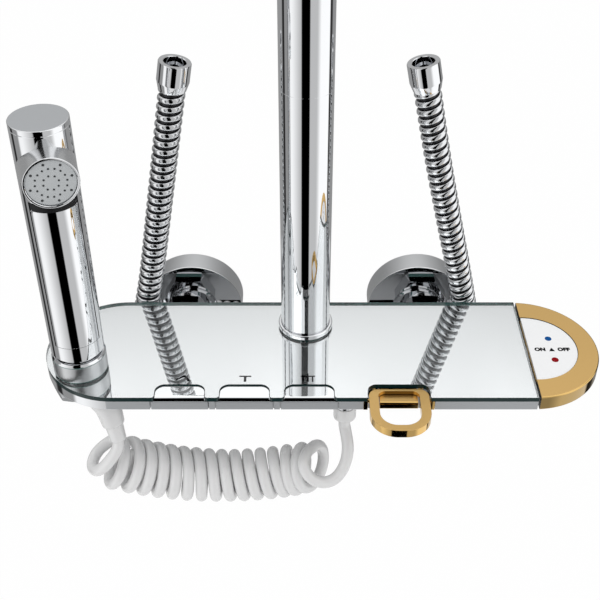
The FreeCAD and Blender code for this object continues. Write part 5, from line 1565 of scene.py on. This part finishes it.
@dataclass
class HandSpray(SubAssembly):
    """Dock on the glass, the spray with its head and trigger, and the bend guard."""

    axis: tuple[float, float] = (-134.0, -100.0)
    glass: float = 21.0
    dock_top: float = 34.0
    dock: float = 15.9
    dock_lip: float = 1.6
    dock_line: float = 0.45
    edge: float = 0.4
    bore_edge: float = 0.3
    cup: float = 13.6
    cup_floor: float = 30.0
    dock_bore: float = 12.3
    thread: float = 13.8
    thread_end: float = 4.0
    liner_wall: float = 0.9
    nut_flats: float = 34.0
    nut_low: float = 7.0
    nut_top: float = 11.5
    radius: float = 15.5
    wall: float = 2.0
    bottom: float = 41.5
    cap_low: float = 182.0
    cap_edge: float = 0.5
    seam: float = 0.25
    top: float = 185.0
    head_level: float = 161.5
    head_azimuth: float = 18.0
    head_root: float = 15.0
    head: float = 14.25
    head_reach: float = 26.0
    head_wall: float = 1.3
    head_edge: float = 0.6
    recess: float = 0.9
    face_thickness: float = 2.0
    face_gap: float = 0.1
    nozzle: float = 0.5
    nozzle_flare: float = 1.25
    outer_ring: float = 10.0
    nozzle_rings: tuple[tuple[int, float, float], ...] = ((8, 4.0, 12.0), (16, 8.0, 2.5), (8, 10.8, 13.0))
    trigger_top: float = 143.0
    trigger_bottom: float = 47.0
    trigger_half: float = 12.1
    trigger_gap: float = 0.5
    foot_gap: float = 0.12
    trigger_wall: float = 1.8
    trigger_floor: float = 5.0
    hinge_level: float = 138.0
    hinge_reach: float = 9.6
    hinge_barrel: float = 2.5
    hinge_pin: float = 1.25
    lug_half: float = 9.6
    shade_level: float = 138.4
    neck: float = 13.0
    skirt: float = 36.5
    neck_edge: float = 2.0
    neck_gap: float = 0.3
    neck_reach: float = 3.0
    tail: float = 11.05
    tail_end: float = 2.0
    waterway: float = 5.0
    guard_profile: tuple[Point, ...] = (
        (4.6, 0.0), (7.6, 0.0), (7.9, 0.3), (7.95, 8.0), (7.9, 18.0), (7.5, 24.0), (7.0, 29.4),
        (6.7, 30.1), (6.2, 30.5), (5.75, 30.9), (5.6, 32.0), (5.3, 36.0), (5.0, 40.6), (4.7, 41.3),
        (4.2, 41.6), (3.4, 41.6))
    guard_line: tuple[Point, ...] = (
        (-131.8, -100.0, 3.5), (-129.5, -100.0, -1.0), (-122.3, -100.8, -8.0), (-119.3, -104.0, -20.0),
        (-115.9, -108.9, -34.2))

    def at(self, level: float) -> tuple[float, float, float]:
        """Point on the spray's axis."""
        return (*self.axis, level)

    def off_axis(self, place: Vector) -> float:
        """Distance of a place from the spray's axis."""
        return math.hypot(place.x - self.axis[0], place.y - self.axis[1])

    def facing(self) -> Vector:
        """Direction in which the head and the trigger face."""
        angle = math.radians(self.head_azimuth)
        return Vector((math.sin(angle), -math.cos(angle), 0))

    def across(self) -> Vector:
        """Direction to the side of the head."""
        return UP.cross(self.facing())

    def faced(self, piece: bpy.types.Object) -> bpy.types.Object:
        """Turn a piece made facing -Y to the head's direction, on the spray's axis."""
        piece.matrix_world = (Matrix.Translation(metres(self.at(0)))
                              @ Matrix.Rotation(math.radians(self.head_azimuth), 4, "Z"))
        return settled(piece)

    def build(self) -> None:
        """Build the dock and the spray."""
        self.build_dock()
        self.build_grip()
        self.build_head()
        self.build_trigger()
        self.build_guard()

    def build_dock(self) -> None:
        """Collar with its lip and cup, the liner and the lock nut."""
        lip, shoulder = self.dock - self.dock_lip, self.dock_top - self.dock_lip
        line = self.dock_line

        def on_side(centre: Vector, normal: Vector) -> bool:
            """Faces of the collar's outer side."""
            return abs(normal.z) < 0.1 and self.off_axis(centre) > self.dock - 0.3

        collar = turned("dock_cup", [
            (self.dock_bore, self.thread_end), (self.thread, self.thread_end), (self.thread, self.glass),
            (self.dock, self.glass), (self.dock, self.glass + line), (self.dock, shoulder - line),
            (self.dock, shoulder), (self.dock - 0.25, shoulder + 0.45), (lip + 0.5, self.dock_top - 0.15),
            (lip, self.dock_top), (self.cup + self.bore_edge, self.dock_top),
            (self.cup, self.dock_top - self.bore_edge),
            (self.cup, self.cup_floor), (self.dock_bore, self.cup_floor)], self.at(0), UP, 160, hollow=True)
        self.paint(collar, Finish.CHROME, {
            Finish.SATIN: lambda centre, normal: (
                on_side(centre, normal) and self.glass < centre.z < shoulder),
            # Sea-green bands at the collar's foot and under its lip; the foot band is a painted reflection of
            # the green glass edge.
            Finish.GASKET: lambda centre, normal: (
                on_side(centre, normal) and not self.glass + line < centre.z < shoulder - line),
            # Painted shade on the walls and floor of the cup.
            Finish.RECESS: lambda centre, normal: (
                self.off_axis(centre) < self.cup + 0.1 and centre.z > self.cup_floor - 0.1)})
        self.fit(collar, Body.FIXED, ["dock_collar"])
        outer = self.dock_bore - 0.05
        liner = turned("dock_sleeve", [
            (outer - self.liner_wall, self.thread_end), (outer, self.thread_end),
            (outer, self.cup_floor), (outer - self.liner_wall, self.cup_floor)],
            self.at(0), UP, 96, hollow=True)
        self.fit(liner, Body.FIXED, ["dock_liner"])
        nut = hex_nut("dock_nut", self.nut_flats, self.nut_top - self.nut_low, self.thread + 0.1,
                      self.at(self.nut_low), UP)
        self.fit(nut, Body.FIXED, ["dock_lock_nut"])

    def build_grip(self) -> None:
        """Shell with the trigger's window, cap and tail."""
        bore = self.radius - self.wall
        shell = turned("spray_shell", [
            (self.radius - self.edge, self.skirt), (self.radius, self.skirt + self.edge),
            (self.radius, self.cap_low - self.seam), (self.radius - self.seam, self.cap_low),
            (bore, self.cap_low), (bore, self.skirt)],
            self.at(0), UP, 160, hollow=True)
        side = self.trigger_half + self.trigger_gap
        window = self.faced(block("window", (
            -side, -2 * self.radius, self.trigger_bottom - self.foot_gap),
            (side, -self.trigger_floor, self.trigger_top + self.trigger_gap)))
        carve(shell, window)
        # Painted shade on the bore and on the walls of the trigger's window, so the window looks dark.
        self.paint(shell, Finish.CHROME, {Finish.RECESS: lambda centre, normal: (
            self.off_axis(centre) < self.radius - 0.2 and abs(normal.z) < 0.9
            or self.trigger_bottom - 1 < centre.z < self.trigger_top + 1 and abs(normal.z) > 0.9)})
        self.fit(shell, Body.HAND_SPRAY, ["handset_shell"])
        cap = turned("spray_cap", [
            (self.radius - self.seam, self.cap_low), (self.radius, self.cap_low + self.seam),
            *quarter_round(self.radius, self.top, self.cap_edge, 18)], self.at(0), UP, 160)
        self.paint(cap, Finish.CHROME, {Finish.SKIRT: lambda centre, normal: normal.z > 0.99})
        self.fit(cap, Body.HAND_SPRAY, ["handset_top_cap"])
        ring_low = self.cup_floor + self.neck_gap
        inside = bore - 0.1
        tail = turned("spray_tail", [
            (self.waterway, self.tail_end), (self.tail - self.edge, self.tail_end),
            (self.tail, self.tail_end + self.edge), (self.tail, ring_low),
            *quarter_round(self.neck, ring_low, self.neck_edge, 15, lower=True),
            (self.neck, self.dock_top - 1.0), (inside, self.skirt), (inside, self.bottom + self.neck_reach),
            (self.waterway, self.bottom + self.neck_reach)], self.at(0), UP, 128, hollow=True)
        self.fit(tail, Body.HAND_SPRAY, ["handset_tail"], Slot.CHROME)

    def build_head(self) -> None:
        """Spray head, its plate and the nozzle tips."""
        reach, start, facing = self.head_reach, self.at(self.head_level), self.facing()
        cup, seat = self.head - self.head_wall, reach - self.recess - self.face_thickness
        throat = self.head - 3 * self.head_wall
        head = turned("spray_head", [
            (self.head_root, 0), *quarter_round(self.head, reach, self.head_edge, 18), (cup + 0.25, reach),
            (cup, reach - 0.25), (cup, seat), (throat, seat), (throat, 0)], start, facing, 160, hollow=True)
        carve(head, turned("barrel", [(self.radius, self.bottom), (self.radius, self.top + 9)],
                           self.at(0), UP, 160))
        self.paint(head, Finish.CHROME, {Finish.SOFT_CHROME: lambda centre, normal: (
            abs(normal.dot(facing)) < 0.1 and (centre - Vector(start)).dot(normal) > 0)})
        self.fit(head, Body.HAND_SPRAY, ["handset_head"])
        front = seat + self.face_thickness
        rim = cup - self.face_gap
        plate = turned("spray_plate", [
            (rim - 0.2, seat), (rim, seat + 0.2), (rim, front - 0.35), (rim - 0.35, front)], start, facing)
        self.fit(plate, Body.HAND_SPRAY, ["spray_face"])
        tips = []
        for count, ring, offset in self.nozzle_rings:
            for index in range(count):
                angle = math.radians(offset + 360 * index / count)
                spot = (Vector(start) + facing * front
                        + self.across() * (ring * math.cos(angle)) + UP * (ring * math.sin(angle)))
                size = self.nozzle * (self.nozzle_flare if ring > self.outer_ring else 1.0)
                profile = [(size * self.nozzle_flare, -0.1), (size, 0.18), (size * 0.55, 0.3)]
                tips.append(turned("tip", profile, spot, facing, 12))
        whole = joined("spray_nozzle_tips", tips)
        self.fit(whole, Body.HAND_SPRAY, [], Slot.NOZZLE, Finish.DOT)

    def build_trigger(self) -> None:
        """Trigger paddle with its barrel, and the pin."""
        outer, inner = self.radius, self.radius - self.trigger_wall
        face, back = (math.sqrt(size ** 2 - self.trigger_half ** 2) for size in (outer, inner))
        start, end = (-self.trigger_half, -face), (self.trigger_half, -face)
        line = [start, *arc(start, (0, -outer), end, 64)]
        line += [(self.trigger_half, -back), *arc((self.trigger_half, -back), (0, -inner),
                                                  (-self.trigger_half, -back), 48)]
        paddle = cut_out("trigger_plate", [line], self.trigger_bottom, self.trigger_top)
        bevelled(paddle, 0.15, 2, 40)
        hinge = (0, -self.hinge_reach, self.hinge_level)
        barrel = turned("trigger_barrel", [
            (self.hinge_barrel, -self.lug_half), (self.hinge_barrel, self.lug_half)], hinge, TO_RIGHT, 48)
        hold, reach = self.lug_half, inner + 0.5
        edge = -math.sqrt(reach ** 2 - hold ** 2)
        lug = cut_out("trigger_lug", [[
            (hold, -self.hinge_reach), (-hold, -self.hinge_reach), (-hold, edge),
            *arc((-hold, edge), (0, -reach), (hold, edge), 40)]],
            self.hinge_level - self.hinge_barrel, self.hinge_level + self.hinge_barrel)
        carve(barrel, lug, "UNION")
        carve(paddle, barrel, "UNION")
        carve(paddle, turned("bore", [(self.hinge_pin, -20), (self.hinge_pin, 20)], hinge, TO_RIGHT, 32))
        # Painted shade on the paddle's strip above the shade level, with its barrel and lug, and on its flat
        # ends, for the dark under the head.
        with editing(paddle):
            bpy.ops.mesh.bisect(plane_co=metres((0, 0, self.shade_level)), plane_no=UP)
        self.paint(paddle, Finish.CHROME, {Finish.RECESS: lambda centre, normal: (
            centre.z > self.shade_level or abs(normal.z) > 0.9)})
        self.fit(self.faced(paddle), Body.TRIGGER, ["trigger_paddle"])
        self.carry_over({"trigger_pin": 0.15}, Body.HAND_SPRAY)

    def build_guard(self) -> None:
        """White guard that bends with the hose under the spray."""
        guard = turned("hose_guard", self.guard_profile, segments=96)
        apply_modifier(guard, "TRIANGULATE")
        bent(guard, self.guard_line)
        smoothed(guard, 40)
        guard.data.materials.append(PAINTS.get(Finish.WHITE_HOSE))
        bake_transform(guard)
        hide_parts("bend_guard")
        LOG.info("%s: %d faces", guard.name, len(guard.data.polygons))


# Hoses


@dataclass
class CoiledHose(SubAssembly):
    """White curly hose from the spray's guard round its coil to the outlet."""

    tube: float = 3.8
    radius: float = 13.4
    pitch: float = 8.75
    last_turn: float = 16.0
    first_turn: float = 0.875
    end_turn: float = 16.0
    steps: int = 16
    loose_turns: float = 2.2
    loose_step: float = 1.8
    axis_radius: float = 200.0
    middle: tuple[float, float] = (-54.0, -78.5)
    end_x: float = 7.0
    row: float = -96.0
    swell: float = 1.0194
    left_yaw: float = 16.0
    left_yaw_turns: float = 14.0
    left_turns: float = 9.5
    left_lean: float = 19.0
    left_swell: float = 0.12
    left_lift: float = 1.2
    left_step: float = 0.25
    yaw: float = -36.0
    yaw_turn: float = 13.0
    lead_in: tuple[Point, ...] = (
        (-116.6, -108.3, -31.5), (-116.4, -109.8, -36.0), (-118.2, -111.8, -40.2), (-122.2, -113.8, -45.3),
        (-127.2, -114.3, -51.8), (-132.6, -111.5, -57.8), (-136.8, -105.0, -62.0), (-138.0, -97.0, -62.6),
        (-135.6, -90.3, -61.3), (-131.2, -85.6, -60.0), (-126.6, -83.6, -58.0))
    lead_out: tuple[Point, ...] = (
        (1.1, -98.6, -53.9), (-0.8, -103.7, -53.5), (-1.5, -108.5, -55.0), (0.7, -112.5, -59.4),
        (6.1, -114.0, -64.3), (12.6, -113.5, -66.5), (18.6, -112.0, -65.1), (23.4, -109.0, -60.4),
        (26.4, -105.0, -54.1), (27.3, -100.5, -47.4), (26.3, -95.5, -42.1), (24.8, -92.0, -36.0),
        (24.8, -92.0, -32.0), (24.8, -92.0, -28.5))
    outlet: Point = (24.8, -92.0, -28.5)
    nut_profile: tuple[Point, ...] = (
        (3.9, 0.0), (5.6, 0.0), (6.6, 0.35), (7.1, 1.0), (7.2, 1.6), (7.2, 9.9), (6.9, 10.4), (6.5, 10.5),
        (3.9, 10.5))
    length: float = 1469.2

    def coil_point(self, turn: float) -> tuple[float, float, float]:
        """Point of the coil's middle line, counted in turns from its first top."""
        run = self.axis_radius * math.asin((self.end_x - self.middle[0]) / self.axis_radius)
        run -= self.pitch * (self.last_turn - turn)
        run -= self.loose_step * max(0.0, self.loose_turns - turn) ** 2
        run -= self.left_step * max(0.0, self.left_turns - turn)
        lean = run / self.axis_radius
        up = Vector((-math.sin(lean), 0, math.cos(lean)))
        axis = Vector((self.middle[0], self.row, self.middle[1] + self.axis_radius)) - up * self.axis_radius
        left = max(0.0, 1 - turn / self.left_turns)
        axis.z += self.left_lift * left
        lean -= math.radians(self.left_lean) * left
        up = Vector((-math.sin(lean), 0, math.cos(lean)))
        angle = math.tau * turn
        size = self.radius * (self.swell + self.left_swell * left)
        share = max(0.0, (turn - self.yaw_turn) / (self.last_turn - self.yaw_turn))
        yaw = math.radians(self.yaw * share ** 1.5 + self.left_yaw * max(0.0, 1 - turn / self.left_yaw_turns))
        offset = up * (size * math.cos(angle)) - Vector((0, size * math.sin(angle), 0))
        return tuple(axis + Matrix.Rotation(yaw, 3, "Z") @ offset)

    def build(self) -> None:
        """Build the hose and the nut at its outlet."""
        count = round((self.end_turn - self.first_turn) * self.steps)
        turns = [self.coil_point(self.first_turn + index / self.steps) for index in range(count + 1)]
        route = [*self.lead_in, *turns, *self.lead_out]
        hose = smooth_line("curly_hose", route, 4)
        hose.data.bevel_depth = self.tube * MM
        hose.data.bevel_resolution = 7
        hose.data.use_fill_caps = True
        hose.data.materials.append(PAINTS.get(Finish.WHITE_HOSE))
        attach(hose, Body.FIXED.value)
        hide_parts("coil_hose")
        nut = turned("outlet_nut", self.nut_profile, self.outlet, UP, 96, hollow=True)
        self.fit(nut, Body.FIXED, ["coil_outlet_nut"], finish=Finish.WHITE_HOSE)
        LOG.info("curly_hose: %d points", len(route))


@dataclass
class MetalHoses(SubAssembly):
    """Two wound metal hoses with their nuts."""

    row: float = -26.0
    crest: float = 8.0
    root: float = 6.3
    pitch: float = 5.6
    flats: float = 21.0
    nut_low: float = -28.0
    nut_length: float = 14.0
    nut_bore: float = 7.9
    groove: float = 0.3
    strip: tuple[tuple[float, float], ...] = (
        (0.0, 0.0), (0.08, 0.0), (0.10, 0.45), (0.16, 0.84), (0.26, 1.0), (0.42, 1.0), (0.54, 0.93),
        (0.64, 0.74), (0.70, 0.45), (0.72, 0.0), (1.0, 0.0))
    top_nut: tuple[Point, ...] = (
        (4.5, 0.0), (7.9, 0.0), (8.2, 0.3), (9.3, 4.7), (9.5, 5.4), (9.5, 16.4), (9.2, 17.0), (6.8, 17.0),
        (6.5, 16.7), (6.5, 7.0), (4.5, 7.0))
    routes: tuple[tuple[str, int, tuple[Point, ...], float], ...] = (
        ("left", -1, ((-108.0, -14.0), (-108.0, -8.0), (-106.4, 3.0), (-99.7, 32.0), (-92.0, 75.5),
                      (-82.7, 128.0), (-76.21, 164.88)), 182.0),
        ("right", 1, ((108.0, -14.0), (108.0, -8.0), (106.8, 3.0), (100.1, 32.5), (89.2, 76.0),
                      (76.6, 128.0), (68.95, 164.83)), 183.4))

    def wound(self, name: str, length: float) -> bpy.types.Object:
        """Straight wound hose along +Z: one strip's section drawn round in a screw.

        Args:
            name: the piece's name.
            length: length of the hose.

        Returns:
            The hose, its start at the origin.
        """
        turns = math.ceil(length / self.pitch) + 1
        clear()
        bpy.ops.mesh.primitive_plane_add(size=1)
        hose = bpy.context.object
        hose.name = hose.data.name = name
        with editing(hose, "VERT"):
            bpy.ops.mesh.merge(type="CENTER")
            bpy.ops.transform.translate(value=(self.root * MM, 0, -self.pitch * MM))
            along, lift = 0.0, 0.0
            for share, rise in self.strip[1:]:
                step = (self.crest - self.root) * (rise - lift)
                bpy.ops.mesh.extrude_region_move(TRANSFORM_OT_translate={
                    "value": (step * MM, 0, (share - along) * self.pitch * MM)})
                along, lift = share, rise
        apply_modifier(hose, "SCREW", angle=math.tau, screw_offset=self.pitch * MM, iterations=turns,
                       steps=40, render_steps=40, axis="Z", use_merge_vertices=True,
                       merge_threshold=MERGE, use_smooth_shade=True)
        for level, inner in ((0.0, True), (length * MM, False)):
            with editing(hose):
                bpy.ops.mesh.bisect(plane_co=(0, 0, level), plane_no=(0, 0, 1), use_fill=True,
                                    clear_inner=inner, clear_outer=not inner)
        with editing(hose):
            bpy.ops.mesh.remove_doubles(threshold=MERGE)
            bpy.ops.mesh.normals_make_consistent(inside=False)
        return hose

    def build(self) -> None:
        """Build both hoses with their nuts."""
        for name, side, points, length in self.routes:
            hose = self.wound("wound_hose_" + name, length)
            # Faces low in the grooves get painted shade, near black.
            groove = self.root + self.groove * (self.crest - self.root)
            self.paint(hose, Finish.HOSE_METAL, {Finish.HOSE_GROOVE: lambda centre, normal: (
                math.hypot(centre.x, centre.y) < groove)})
            bent(hose, [(x, self.row, z) for x, z in points])
            self.fit(hose, Body.FIXED, ["metal_hose_" + name])
            nut = hex_nut("swivel_nut_" + name, self.flats, self.nut_length, self.nut_bore,
                          (points[0][0], self.row, self.nut_low), UP)
            self.fit(nut, Body.FIXED, ["hose_nut_" + name])
            end, before = metres((points[-1][0], self.row, points[-1][1])), points[-2]
            way = (end - metres((before[0], self.row, before[1]))).normalized()
            top = turned("end_nut_" + name, self.top_nut, end / MM, way, 96, hollow=True)
            self.fit(top, Body.FIXED, ["hose_top_nut_" + name])


# The whole


def main() -> None:
    """Build the whole mixer in order and write how large it came out."""
    logging.basicConfig(level=logging.INFO, format="%(message)s")
    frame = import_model()
    Studio().build()
    HandSpray(frame).build()
    CoiledHose(frame).build()
    MetalHoses(frame).build()
    WallConnection(frame).build()
    ValveBody(frame).build()
    MirrorShelf(frame).build()
    PressKeys(frame).build()
    HookRing(frame).build()
    Riser(frame).build()
    MixingLever(frame).build()


if __name__ == "__main__":
    main()
